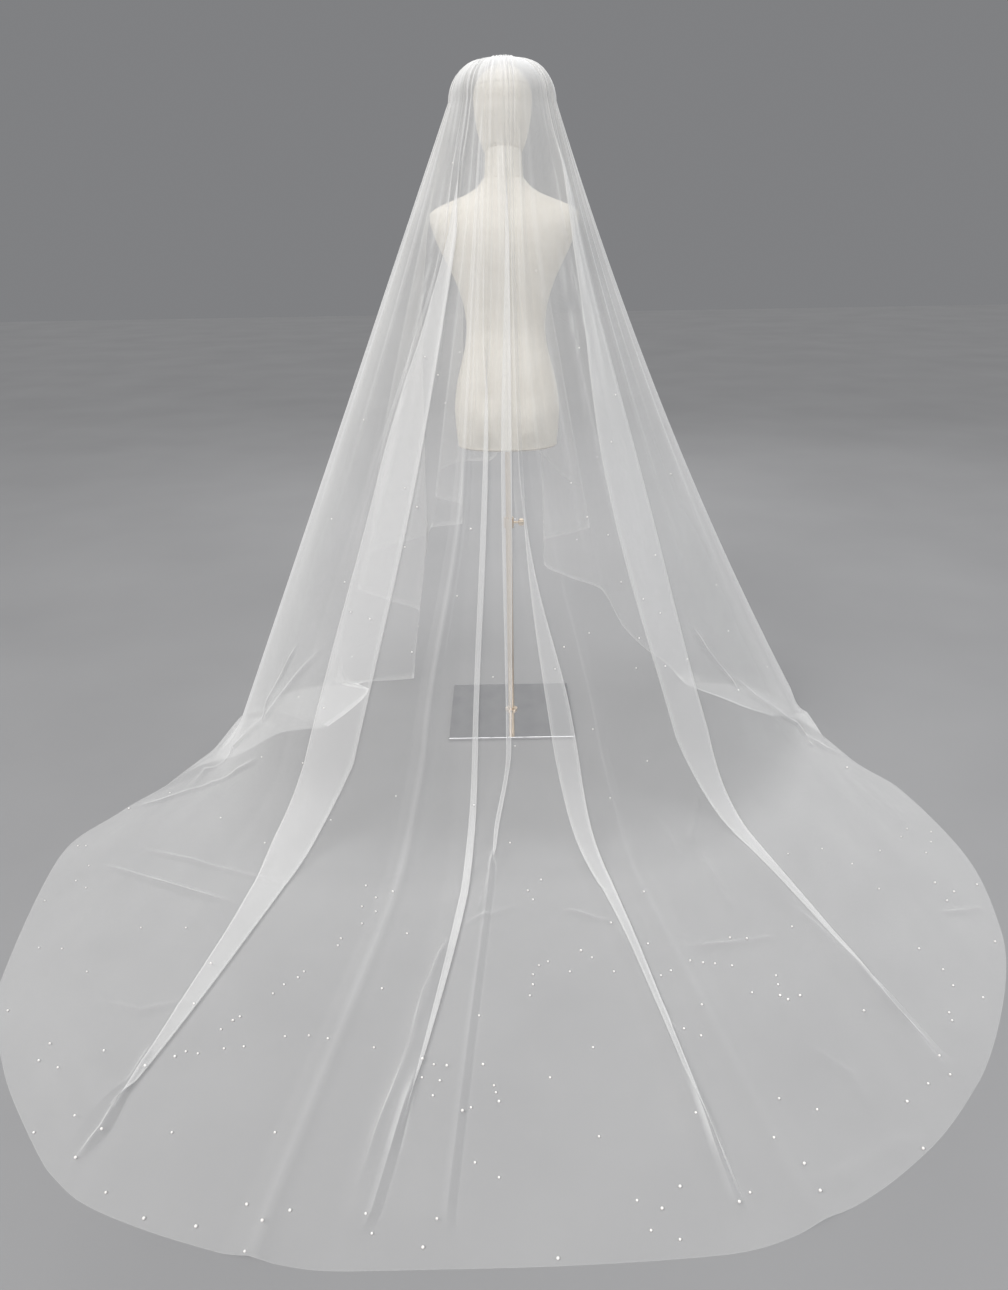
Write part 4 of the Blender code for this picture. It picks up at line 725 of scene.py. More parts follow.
# Comb and gathered heading on top of the head
COMB_TEETH = 10
COMB_PITCH = 0.0036
COMB_THICK = 0.0016
COMB_SPINE = 0.004
COMB_TOOTH = 0.022
COMB_STEPS = 2
HEADING_HALF_LENGTH = 0.0445
HEADING_HALF_DEPTH = 0.0092
HEADING_TOP = 1.8032
HEADING_SAG = 0.0065
HEADING_SECTIONS = 45
HEADING_SIDES = 8
HEADING_WAVE = 0.0078
HEADING_RUCHE = 0.0012

# Stand
PLATE_SIDE = 0.380
PLATE_THICK = 0.010
PLATE_BEVEL = 0.0012
FLANGE_RADIUS = 0.0190
FLANGE_THICK = 0.0040
POLE_LOWER_RADIUS = 0.0095
POLE_UPPER_RADIUS = 0.0080
COLLAR_RADIUS = 0.0150
COLLAR_BOTTOM = 0.6050
COLLAR_TOP = 0.6350
KNOB_REACH = 0.0300
KNOB_RADIUS = 0.0100
KNOB_STEM_RADIUS = 0.0035
GAP = 0.0003



# fine cloth
FINE_STEP = 0.0196
FINE_MOST = 11


def refine_rows(rows, length_of, step):
    """Rows with more stops between them, so that the steps are about as long."""
    fine = [rows[0]]
    for low, high in zip(rows[:-1], rows[1:]):
        count = max(1, int(math.ceil(length_of(low, high) / step)))
        fine.extend(low + (high - low) * (k + 1) / count for k in range(count))
    return fine


def refine_columns(values, marks):
    """Every row of values, read along the columns at fractional marks."""
    keys = np.arange(len(values), dtype=float)
    return np.stack([hermite(keys, values[:, k], marks) for k in range(values.shape[1])], -1)


def column_marks(points, step):
    """Column numbers, whole and in between, so that no span is wider than step."""
    spans = np.linalg.norm(np.diff(points, axis=0), axis=-1).max(axis=1)
    marks = [0.0]
    for k, span in enumerate(spans):
        count = int(min(FINE_MOST, max(1, math.ceil(span / step))))
        marks.extend(k + (j + 1) / count for j in range(count))
    return np.array(marks)


# Small tucks that fan out from the heading. share is the share of the way round and r how far over the
# crown; each tuck sits at a random place and reaches a random way over the crown.
def fan_of_tucks(share, r, count, seed, tallest):
    chance = np.random.default_rng(seed)
    places = (np.arange(count) + 0.5 + chance.uniform(-0.32, 0.32, count)) / count
    heights = tallest * chance.uniform(0.35, 1.0, count)
    reach = chance.uniform(0.8, 2.0, count) * chance.uniform(0.75, 1.0, count)
    widths = 0.42 / count * chance.uniform(0.7, 1.2, count)
    total = np.zeros(np.broadcast(share, r).shape)
    for place, height, far, width in zip(places, heights, reach, widths):
        bump = np.exp(-((share - place) / width) ** 2)
        total += height * bump * (1 - ease(0.35 * far, far, r)) * (0.45 + 0.55 * ease(0.0, 0.7, r))
    return total


# Soft folds of the hanging back: bearing at the crown and at the floor, where
# they begin and end, height in metres and half width in degrees.
BACK_FALLS = (
    (-84.0, -83.0, 0.3, 1.90, 0.0040, 1.6),
    (-77.5, -76.0, 0.2, 1.60, 0.0030, 1.1),
    (-71.0, -71.5, 0.3, 1.95, 0.0045, 1.4),
    (-64.0, -66.5, 0.2, 1.75, 0.0034, 1.0),
    (-57.0, -62.0, 0.2, 1.50, 0.0030, 0.9),
    (-50.0, -55.0, 0.3, 1.85, 0.0036, 1.2),
    (-43.5, -50.0, 0.2, 1.60, 0.0030, 0.9),
    (-34.0, -41.5, 0.3, 1.90, 0.0038, 1.1),
    (-27.0, -35.0, 0.2, 1.70, 0.0026, 0.8),
    (-16.0, -19.5, 0.3, 1.80, 0.0030, 1.0),
    (-7.0, -8.0, 0.2, 1.55, 0.0022, 0.7),
    (5.0, 6.5, 0.2, 1.50, 0.0020, 0.7),
    (13.0, 20.0, 0.3, 1.65, 0.0026, 0.9),
    (23.0, 31.0, 0.2, 1.90, 0.0036, 1.1),
    (29.5, 37.0, 0.2, 1.60, 0.0030, 0.9),
    (37.0, 43.0, 0.3, 1.85, 0.0040, 1.1),
    (44.0, 48.5, 0.2, 1.70, 0.0030, 0.9),
    (51.0, 53.5, 0.2, 1.90, 0.0036, 1.0),
    (59.5, 60.5, 0.3, 1.60, 0.0032, 1.2),
    (66.0, 66.0, 0.2, 1.85, 0.0040, 1.3),
    (73.0, 72.5, 0.3, 1.70, 0.0030, 1.0),
    (80.5, 80.0, 0.2, 1.90, 0.0040, 1.5),
)


def falls_height(bearing, rows):
    total = np.zeros(bearing.shape)
    for top, low, start, end, height, width in BACK_FALLS:
        middle = top + (low - top) * ease(1.0, 2.0, rows)
        span = end - start
        reach = ease(start, start + 0.35 * span, rows) * (1 - ease(end - 0.4 * span, end, rows))
        grown = 0.22 + 0.78 * ease(0.8, 1.45, rows)
        total += height * reach * grown * np.exp(-(((bearing - middle) / width) ** 2))
    return total


# How many times denser the net is where it is drawn together, by row.
CROWN_CROWD = 1.7
FALL_CROWD = 0.55
FOLD_CROWD = 1.5


def drawn_together(rows):
    return (1 + CROWN_CROWD * (1 - ease(0.0, 1.1, rows))
            + FALL_CROWD * (1 - ease(1.0, 1.9, rows)))


def fold_turns(grid):
    """1 where the cloth turns back on itself across a column, 0 where it is flat."""
    step = np.diff(grid, axis=0)
    step /= np.maximum(np.linalg.norm(step, axis=-1, keepdims=True), 1e-9)
    bend = 1 - np.sum(step[:-1] * step[1:], axis=-1)
    turns = np.zeros(grid.shape[:2])
    turns[1:-1] = np.clip(2.2 * bend, 0.0, 1.0)
    return turns


def back_sheet():
    base_rows = list(BACK_ROWS)
    def length_of(low, high):
        at = np.array([low, high])
        spans = []
        for bearing in (-70.0, -40.0, 0.0, 40.0, 70.0):
            ends = back_point(np.full(2, bearing), np.full(2, bearing), at)
            spans.append(np.linalg.norm(ends[1] - ends[0]))
        return max(spans)
    rows = np.array(refine_rows(base_rows, length_of, FINE_STEP))
    rows = np.sort(np.concatenate([rows, [4.992]]))
    bearing, layer, _ = cloth_columns(
        BACK_ORDER, BACK_PLEATS, BACK_PLAIN, BACK_STATIONS, np.maximum(rows, 1.0),
        back_degrees_per_metre, np.clip((rows - 1.0) / PLEAT_GROWTH, 0.0, 1.0))
    count = len(bearing)
    even = ring_angles(-90.0, 90.0, count)
    wide = np.broadcast_to(rows, bearing.shape)
    coarse = back_point(bearing, even[:, None] + 0 * rows, wide)
    marks = column_marks(coarse[:, ::6], FINE_STEP)
    bearing = refine_columns(bearing, marks)
    layer = refine_columns(layer, marks) * ease(1.0, 1.11, rows)
    even = np.interp(marks, np.arange(count), even)[:, None] + 0 * rows
    wide = np.broadcast_to(rows, bearing.shape)
    points = back_point(bearing, even, wide)
    share = marks / (count - 1)
    k = marks[:, None]
    inside = np.clip(np.minimum(k, count - 1 - k) / GATHER_COLUMNS, 0, 1)
    depth = GATHER_DEPTH + (GATHER_SPREAD - GATHER_DEPTH) * ease(0, 0.6, rows)
    waves = np.sin(2 * math.pi * k / GATHER_COLUMNS) * inside * depth * (1 - ease(0.7, 1.6, rows))
    tucks = fan_of_tucks(share[:, None], rows[None, :], 44, 7, 0.0024) * np.clip(inside * 2, 0, 1)
    height = layer * LAYER_STEP + waves + tucks + falls_height(bearing, rows)
    flat = rows >= 4.0
    height = np.where(flat[None, :] & (layer < 0.01), 0.0, height)
    normals = outward(back_point, bearing, even, wide)
    grid = points + normals * height[..., None]
    crowd = drawn_together(rows) * (0.8 + 0.55 * (1 - ease(1.2, 2.0, rows)) * tucks / 0.0024)
    crowd = crowd + 0.4 * falls_height(bearing, rows) / 0.004 + FOLD_CROWD * fold_turns(grid)
    return grid, normals, crowd


def front_sheet():
    probe = np.linspace(0.0, DOME_Z, PROBE_HEIGHTS)
    bearing, layer, hem = cloth_columns(
        FRONT_ORDER, FRONT_PLEATS, FRONT_PLAIN, FRONT_HEIGHTS,
        np.clip(probe, FRONT_HEIGHTS[0], FRONT_HEIGHTS[-1]), front_degrees_per_metre,
        np.clip((1.0 - probe / DOME_Z) / PLEAT_GROWTH, 0.0, 1.0))
    count = len(bearing)
    even = ring_angles(90.0, 270.0, count)
    layer = layer * (1 - ease(1.52, DOME_Z, probe))
    low = front_base(bearing[:, 8], np.full(count, 0.42))
    spans = np.linalg.norm(np.diff(low, axis=0), axis=-1)
    marks = [0.0]
    for k, span in enumerate(spans):
        n = int(min(FINE_MOST, max(1, math.ceil(span / FINE_STEP))))
        marks.extend(k + (j + 1) / n for j in range(n))
    marks = np.array(marks)
    bearing = refine_columns(bearing, marks)
    layer = refine_columns(layer, marks)
    hem = hermite(np.arange(count), hem, marks)
    even = np.interp(marks, np.arange(count), even)

    dome_rows = np.linspace(0.0, 1.0, 15)
    level_rows = np.linspace(0.0, FRONT_LEVEL_ROWS[-1], 36)[1:]
    fall_rows = np.linspace(FRONT_LEVEL_ROWS[-1], 1.0, 34)[1:]
    tail_rows = []
    for low_row, high_row in zip((2.0,) + FRONT_TAIL_ROWS[:-1], FRONT_TAIL_ROWS):
        tail_rows.extend(np.linspace(low_row, high_row, 5)[1:])
    tail_rows = tuple(tail_rows)
    k = marks[:, None]
    half = GATHER_COLUMNS / 2
    inside = np.clip(np.minimum(k, count - 1 - k) / half, 0, 1)
    depth = GATHER_DEPTH + (GATHER_SPREAD - GATHER_DEPTH) * ease(0, 0.6, dome_rows)
    waves = np.sin(2 * math.pi * k / half) * inside * depth * (1 - ease(0.7, 1.6, dome_rows))
    waves += fan_of_tucks(k / (count - 1), dome_rows[None, :], 40, 11, 0.0022) * np.clip(inside * 2, 0, 1)

    side_shares = []
    for back in (90.0, -90.0):
        column = back_point(np.full(len(tail_rows) + 1, back), np.full(len(tail_rows) + 1, back),
                            np.array((2.0,) + tail_rows))
        steps = np.linalg.norm(np.diff(column, axis=0), axis=1)
        side_shares.append(np.cumsum(steps) / steps.sum())
    grid = []
    for i, mark in enumerate(marks):
        share = mark / (count - 1)
        shares = side_shares[0] + (side_shares[1] - side_shares[0]) * share
        grid.append(front_column(bearing[i], layer[i], hem[i], even[i], probe, dome_rows,
                                 tuple(level_rows), tuple(fall_rows), shares, waves[i]))
    grid = np.array(grid)
    rows = np.array(tuple(dome_rows) + tuple(1 + f for f in tuple(level_rows) + tuple(fall_rows))
                    + tail_rows)
    for edge, side in ((0, 90.0), (-1, -90.0)):
        grid[edge] = back_point(np.full(len(rows), side), np.full(len(rows), side), rows)
    crowd = drawn_together(rows) + FOLD_CROWD * fold_turns(grid)
    return grid, crowd


# creases
# Creases of the back where it meets the floor and on the train, one row each:
# height and half width in metres, and the points that the crease runs through,
# as pixels of the photograph.
CREASES = (
    (0.0075, 0.009, ((334, 640), (310, 662), (285, 692), (265, 718), (235, 746), (206, 770),
                     (189, 790))),
    (0.006, 0.007, ((300, 640), (284, 672), (268, 700), (262, 725))),
    (0.006, 0.008, ((262, 757), (238, 770), (212, 783), (188, 791), (160, 801), (130, 808))),
    (0.007, 0.008, ((688, 622), (706, 650), (725, 674), (740, 693))),
    (0.007, 0.010, ((727, 673), (755, 697), (780, 713), (797, 724), (825, 748), (851, 760))),
    (0.006, 0.007, ((797, 724), (804, 735), (813, 748))),
    (0.007, 0.008, ((699, 790), (695, 815), (690, 845))),
    (0.004, 0.008, ((655, 815), (668, 835), (684, 862))),
    (0.010, 0.0075, ((62, 853), (100, 864), (150, 880), (200, 895), (240, 906))),
    (0.0045, 0.008, ((130, 847), (190, 860), (250, 876), (300, 890))),
    (0.005, 0.008, ((698, 845), (715, 880), (735, 915))),
    (0.005, 0.007, ((560, 908), (590, 917), (615, 922))),
    (0.004, 0.008, ((456, 925), (485, 915), (520, 905))),
    (0.005, 0.008, ((680, 946), (730, 944), (780, 936))),
    (0.005, 0.008, ((938, 914), (960, 912), (985, 908))),
    (0.007, 0.016, ((815, 1190), (870, 1162), (925, 1135), (985, 1098))),
    (0.006, 0.016, ((462, 536), (446, 620), (430, 700), (415, 790), (398, 888))),
    (0.006, 0.014, ((578, 720), (595, 770), (613, 818), (633, 868))),
    (0.009, 0.007, ((445, 938), (427, 1000), (413, 1041), (393, 1092), (379, 1126), (369, 1157),
                    (357, 1187), (353, 1208))),
    (0.005, 0.008, ((500, 845), (490, 880), (478, 915))),
    (0.004, 0.010, ((90, 1000), (140, 1012), (200, 1000))),
    (0.004, 0.011, ((500, 1110), (540, 1150), (560, 1200))),
    (0.004, 0.010, ((800, 1040), (850, 1075), (880, 1120))),
    (0.009, 0.0065, ((155, 1040), (103, 1128), (85, 1150), (66, 1172))),
    (0.009, 0.0065, ((652, 990), (675, 1031), (710, 1124), (739, 1201), (759, 1224))),
    (0.008, 0.006, ((611, 912), (643, 976), (672, 1041), (698, 1118))),
    (0.009, 0.0065, ((786, 900), (829, 938), (884, 996), (939, 1054), (977, 1086))),
    (0.008, 0.006, ((450, 935), (424, 992), (411, 1044))),
)

# Soft folds down the front, and at its sides.
FRONT_CREASES = (
    (0.0045, 0.016, ((0.105, 0.150, 1.45), (0.150, 0.175, 1.10), (0.200, 0.200, 0.72))),
    (0.0040, 0.014, ((0.040, 0.150, 1.52), (0.052, 0.168, 1.20), (0.060, 0.190, 0.88))),
    (0.0036, 0.012, ((-0.030, 0.150, 1.50), (-0.045, 0.170, 1.15), (-0.052, 0.190, 0.86))),
    (0.0045, 0.017, ((-0.120, 0.150, 1.42), (-0.190, 0.180, 1.05), (-0.270, 0.210, 0.62))),
    (0.0050, 0.020, ((0.190, 0.110, 1.40), (0.360, 0.150, 0.98), (0.520, 0.190, 0.55))),
    (0.0050, 0.020, ((-0.180, 0.110, 1.40), (-0.330, 0.160, 0.98), (-0.480, 0.205, 0.55))),
    (0.0045, 0.020, ((0.220, 0.060, 1.42), (0.480, 0.090, 0.92), (0.700, 0.120, 0.42))),
    (0.0045, 0.020, ((-0.210, 0.070, 1.42), (-0.450, 0.110, 0.92), (-0.660, 0.150, 0.42))),
)


NARROW_CREASE = 0.0115


# The photograph is taken from here: its size and focal length are in pixels.
PHOTO_WIDTH, PHOTO_HEIGHT = 1008, 1290
PHOTO_FOCUS = 960.0
VIEWPOINT = Vector((-0.02, -2.741, 1.366))
VIEW_TURN = (Euler((math.radians(67.5), 0.0, 0.0)).to_matrix()
             @ Matrix.Rotation(math.radians(-1.0), 3, "Z"))


def seen_on(tree, across, down):
    """Where the line of sight through a pixel of the photograph meets the cloth."""
    sight = Vector((across - PHOTO_WIDTH / 2, PHOTO_HEIGHT / 2 - down, -PHOTO_FOCUS))
    spot, normal, _, _ = tree.ray_cast(VIEWPOINT, VIEW_TURN @ sight.normalized())
    return spot, normal


def creases_on(grid, creases):
    """The back's creases, with their points on the plain cloth instead of pixels."""
    tree = BVHTree.FromPolygons(grid.reshape(-1, 3).tolist(), grid_faces(grid))
    placed = []
    for height, width, line in creases:
        spots = [seen_on(tree, across, down)[0] for across, down in line]
        placed.append((height, width, [tuple(spot) for spot in spots if spot is not None]))
    return placed


def crease_lift(points, creases):
    """How far each point stands out, and whether a crease is near it."""
    lift = np.zeros(len(points))
    beside = np.zeros(len(points), bool)
    for height, width, line in creases:
        line = np.array(line, float)
        low = line.min(axis=0) - 4 * width
        high = line.max(axis=0) + 4 * width
        near = np.where(np.all((points > low) & (points < high), axis=1))[0]
        if not len(near):
            continue
        spot = points[near]
        best = np.full(len(near), 1e9)
        along = np.zeros(len(near))
        steps = np.linalg.norm(np.diff(line, axis=0), axis=1)
        total = steps.sum()
        run = 0.0
        for start, end, step in zip(line[:-1], line[1:], steps):
            t = np.clip(((spot - start) @ (end - start)) / step**2, 0.0, 1.0)
            away = np.linalg.norm(spot - (start + t[:, None] * (end - start)), axis=1)
            closer = away < best
            best = np.where(closer, away, best)
            along = np.where(closer, (run + t * step) / total, along)
            run += step
        swell = 0.75 + 0.25 * np.sin(along * 9.0 + height * 900.0)
        ends = ease(0.0, 0.22, along) * (1 - ease(0.78, 1.0, along))
        lift[near] += height * swell * ends * np.exp(-((best / width) ** 2))
        if width < NARROW_CREASE:
            beside[near] |= best < 1.8 * width
    return lift, beside


def grid_faces(grid):
    columns, rows = grid.shape[:2]
    return [(i * rows + k, i * rows + k + 1, (i + 1) * rows + k + 1, (i + 1) * rows + k)
            for i in range(columns - 1) for k in range(rows - 1)]


def grid_object(name, grid, crowd, finish):
    """An open sheet through a grid of points, with a map in metres."""
    columns, rows = grid.shape[:2]
    mesh = bpy.data.meshes.new(name)
    mesh.from_pydata(grid.reshape(-1, 3).tolist(), [], grid_faces(grid))
    across = np.zeros((columns, rows))
    across[1:] = np.cumsum(np.linalg.norm(np.diff(grid, axis=0), axis=-1), axis=0)
    across -= across[columns // 2]
    down = np.zeros((columns, rows))
    down[:, 1:] = np.cumsum(np.linalg.norm(np.diff(grid, axis=1), axis=-1), axis=1)
    chart = np.stack([across, down], -1).reshape(-1, 2)
    corners = np.empty(len(mesh.loops), dtype=np.int32)
    mesh.loops.foreach_get("vertex_index", corners)
    layer = mesh.uv_layers.new(name="cloth")
    layer.data.foreach_set("uv", chart[corners].astype(np.float32).ravel())
    edge = np.zeros((columns, rows))
    edge[:, -1] = 1.0
    selvedge = mesh.attributes.new("cut_edge", "FLOAT", "POINT")
    selvedge.data.foreach_set("value", edge.astype(np.float32).ravel())
    density = mesh.attributes.new("crowd", "FLOAT", "POINT")
    density.data.foreach_set("value", crowd.astype(np.float32).ravel())
    mesh.materials.append(finish)
    mesh.shade_smooth()
    made = bpy.data.objects.new(name, mesh)
    bpy.context.scene.collection.objects.link(made)
    return made


# materials
def tree_of(name):
    made = bpy.data.materials.new(name)
    made.use_nodes = True
    return made, made.node_tree, made.node_tree.nodes["Principled BSDF"]


def add(tree, kind, **settings):
    made = tree.nodes.new(kind)
    for key, value in settings.items():
        setattr(made, key, value)
    return made


def join(tree, start, end):
    tree.links.new(start, end)


def sums(tree, operation, first, second=None, clamp=False):
    made = add(tree, "ShaderNodeMath", operation=operation, use_clamp=clamp)
    for socket, value in zip(made.inputs, (first, second)):
        if value is None:
            continue
        if isinstance(value, (int, float)):
            socket.default_value = value
        else:
            join(tree, value, socket)
    return made.outputs[0]


def ramp(tree, source, stops):
    made = add(tree, "ShaderNodeValToRGB")
    join(tree, source, made.inputs[0])
    elements = made.color_ramp.elements
    while len(elements) < len(stops):
        elements.new(0.5)
    for element, (place, colour) in zip(elements, stops):
        element.position = place
        element.color = (*colour, 1.0)
    return made.outputs[0]


NET_HOLE = 0.0014
LAYER_COVER = 0.21


def tulle(name, cover, crowded=True, white=(0.93, 0.93, 0.925)):
    """Soft net: threads round small holes. Its threads cover more where it is seen edge on."""
    made, tree, shader = tree_of(name)
    place = add(tree, "ShaderNodeTexCoord").outputs["UV"]
    net = add(tree, "ShaderNodeTexVoronoi", feature="DISTANCE_TO_EDGE", voronoi_dimensions="2D")
    net.inputs["Scale"].default_value = 1.0 / NET_HOLE
    net.inputs["Randomness"].default_value = 0.35
    join(tree, place, net.inputs["Vector"])
    thread = ramp(tree, net.outputs["Distance"], ((0.0, (1, 1, 1)), (0.16, (0.35, 0.35, 0.35)),
                                                  (0.34, (0, 0, 0))))
    cloud = add(tree, "ShaderNodeTexNoise", noise_dimensions="2D")
    cloud.inputs["Scale"].default_value = 5.0
    cloud.inputs["Detail"].default_value = 4.0
    join(tree, place, cloud.inputs["Vector"])
    uneven = sums(tree, "MULTIPLY_ADD", cloud.outputs["Fac"], 0.34)
    uneven.node.inputs[2].default_value = 0.83
    strands = sums(tree, "MULTIPLY_ADD", thread, 0.9)
    strands.node.inputs[2].default_value = 0.62
    edge = add(tree, "ShaderNodeAttribute", attribute_name="cut_edge").outputs["Fac"]
    border = sums(tree, "MULTIPLY_ADD", edge, 1.6)
    border.node.inputs[2].default_value = 1.0
    amount = sums(tree, "MULTIPLY", sums(tree, "MULTIPLY", uneven, strands), cover)
    amount = sums(tree, "MULTIPLY", amount, border)
    if crowded:
        drawn = add(tree, "ShaderNodeAttribute", attribute_name="crowd").outputs["Fac"]
        amount = sums(tree, "MULTIPLY", amount, drawn)
    slant = add(tree, "ShaderNodeLayerWeight")
    slant.inputs["Blend"].default_value = 0.5
    straight = sums(tree, "MAXIMUM", sums(tree, "SUBTRACT", 1.0, slant.outputs["Facing"]), 0.09)
    path = sums(tree, "DIVIDE", amount, straight)
    seen_through = sums(tree, "POWER", 2.718, sums(tree, "MULTIPLY", path, -1.0))
    shader.inputs["Base Color"].default_value = (*white, 1.0)
    shader.inputs["Roughness"].default_value = 0.62
    shader.inputs["Sheen Weight"].default_value = 0.35
    shader.inputs["Sheen Roughness"].default_value = 0.4
    shader.inputs["Specular IOR Level"].default_value = 0.35
    bump = add(tree, "ShaderNodeBump")
    bump.inputs["Strength"].default_value = 0.25
    bump.inputs["Distance"].default_value = 0.0003
    join(tree, thread, bump.inputs["Height"])
    join(tree, bump.outputs["Normal"], shader.inputs["Normal"])
    clear = add(tree, "ShaderNodeBsdfTransparent")
    mix = add(tree, "ShaderNodeMixShader")
    join(tree, seen_through, mix.inputs[0])
    join(tree, shader.outputs[0], mix.inputs[1])
    join(tree, clear.outputs[0], mix.inputs[2])
    join(tree, mix.outputs[0], tree.nodes["Material Output"].inputs["Surface"])
    return made


def woven(name, light, dark):
    """Fine plain weave stretched over foam."""
    made, tree, shader = tree_of(name)
    place = add(tree, "ShaderNodeTexCoord").outputs["UV"]
    split = add(tree, "ShaderNodeSeparateXYZ")
    join(tree, place, split.inputs[0])
    warp = sums(tree, "SINE", sums(tree, "MULTIPLY", split.outputs[0], 2 * math.pi / 0.0011))
    weft = sums(tree, "SINE", sums(tree, "MULTIPLY", split.outputs[1], 2 * math.pi / 0.0011))
    weave = sums(tree, "MULTIPLY_ADD", sums(tree, "MULTIPLY", warp, weft), 0.5)
    weave.node.inputs[2].default_value = 0.5
    slub = add(tree, "ShaderNodeTexNoise")
    slub.inputs["Scale"].default_value = 60.0
    slub.inputs["Detail"].default_value = 6.0
    join(tree, place, slub.inputs["Vector"])
    cloud = add(tree, "ShaderNodeTexNoise")
    cloud.inputs["Scale"].default_value = 7.0
    join(tree, place, cloud.inputs["Vector"])
    tone = sums(tree, "MULTIPLY_ADD", slub.outputs["Fac"], 0.5)
    join(tree, sums(tree, "MULTIPLY", cloud.outputs["Fac"], 0.5), tone.node.inputs[2])
    colour = ramp(tree, tone, ((0.32, dark), (0.66, light)))
    join(tree, colour, shader.inputs["Base Color"])
    rough = sums(tree, "MULTIPLY_ADD", weave, 0.12)
    rough.node.inputs[2].default_value = 0.78
    join(tree, rough, shader.inputs["Roughness"])
    shader.inputs["Sheen Weight"].default_value = 0.25
    bump = add(tree, "ShaderNodeBump")
    bump.inputs["Strength"].default_value = 0.35
    bump.inputs["Distance"].default_value = 0.00025
    join(tree, sums(tree, "ADD", weave, sums(tree, "MULTIPLY", slub.outputs["Fac"], 0.8)),
         bump.inputs["Height"])
    join(tree, bump.outputs["Normal"], shader.inputs["Normal"])
    return made


def metal(name, light, dark, rough_low, rough_high, grain=(2.0, 2.0, 220.0)):
    """Metal with fine turned or brushed lines and slight wear."""
    made, tree, shader = tree_of(name)
    place = add(tree, "ShaderNodeTexCoord").outputs["Object"]
    stretch = add(tree, "ShaderNodeMapping")
    stretch.inputs["Scale"].default_value = grain
    join(tree, place, stretch.inputs["Vector"])
    lines = add(tree, "ShaderNodeTexNoise")
    lines.inputs["Scale"].default_value = 6.0
    lines.inputs["Detail"].default_value = 5.0
    join(tree, stretch.outputs[0], lines.inputs["Vector"])
    cloud = add(tree, "ShaderNodeTexNoise")
    cloud.inputs["Scale"].default_value = 14.0
    cloud.inputs["Detail"].default_value = 4.0
    join(tree, place, cloud.inputs["Vector"])
    join(tree, ramp(tree, cloud.outputs["Fac"], ((0.3, dark), (0.7, light))),
         shader.inputs["Base Color"])
    shader.inputs["Metallic"].default_value = 1.0
    rough = sums(tree, "MULTIPLY_ADD", lines.outputs["Fac"], rough_high - rough_low)
    rough.node.inputs[2].default_value = rough_low
    join(tree, rough, shader.inputs["Roughness"])
    bump = add(tree, "ShaderNodeBump")
    bump.inputs["Strength"].default_value = 0.08
    bump.inputs["Distance"].default_value = 0.0002
    join(tree, lines.outputs["Fac"], bump.inputs["Height"])
    join(tree, bump.outputs["Normal"], shader.inputs["Normal"])
    return made


def pearl_finish():
    made, tree, shader = tree_of("pearl")
    place = add(tree, "ShaderNodeTexCoord").outputs["Object"]
    cloud = add(tree, "ShaderNodeTexNoise")
    cloud.inputs["Scale"].default_value = 90.0
    join(tree, place, cloud.inputs["Vector"])
    join(tree, ramp(tree, cloud.outputs["Fac"], ((0.3, (0.93, 0.89, 0.86)), (0.7, (0.97, 0.96, 0.94)))),
         shader.inputs["Base Color"])
    rough = sums(tree, "MULTIPLY_ADD", cloud.outputs["Fac"], 0.12)
    rough.node.inputs[2].default_value = 0.16
    join(tree, rough, shader.inputs["Roughness"])
    shader.inputs["Coat Weight"].default_value = 0.6
    shader.inputs["Coat Roughness"].default_value = 0.12
    shader.inputs["Subsurface Weight"].default_value = 0.0
    return made


def plastic(name, colour):
    made, tree, shader = tree_of(name)
    place = add(tree, "ShaderNodeTexCoord").outputs["Object"]
    cloud = add(tree, "ShaderNodeTexNoise")
    cloud.inputs["Scale"].default_value = 120.0
    join(tree, place, cloud.inputs["Vector"])
    dark = tuple(0.9 * c for c in colour)
    join(tree, ramp(tree, cloud.outputs["Fac"], ((0.3, dark), (0.7, colour))), shader.inputs["Base Color"])
    rough = sums(tree, "MULTIPLY_ADD", cloud.outputs["Fac"], 0.12)
    rough.node.inputs[2].default_value = 0.2
    join(tree, rough, shader.inputs["Roughness"])
    shader.inputs["Transmission Weight"].default_value = 0.4
    return made


tulle_finish = tulle("soft_tulle", LAYER_COVER)
fabric_finish = woven("cream_fabric", (0.88, 0.84, 0.76), (0.78, 0.73, 0.64))
seam_finish = woven("cream_seam", (0.80, 0.75, 0.66), (0.66, 0.60, 0.52))
gold_finish = metal("champagne_metal", (0.80, 0.66, 0.50), (0.66, 0.52, 0.38), 0.20, 0.42)
plate_finish = metal("polished_steel", (0.84, 0.84, 0.85), (0.74, 0.74, 0.76), 0.03, 0.12,
                     (40.0, 2.0, 2.0))
pearl_material = pearl_finish()
heading_finish = tulle("drawn_tulle", 1.3, crowded=False)
thread_finish = woven("white_thread", (0.93, 0.93, 0.92), (0.86, 0.86, 0.85))
comb_finish = plastic("clear_plastic", (0.88, 0.88, 0.87))


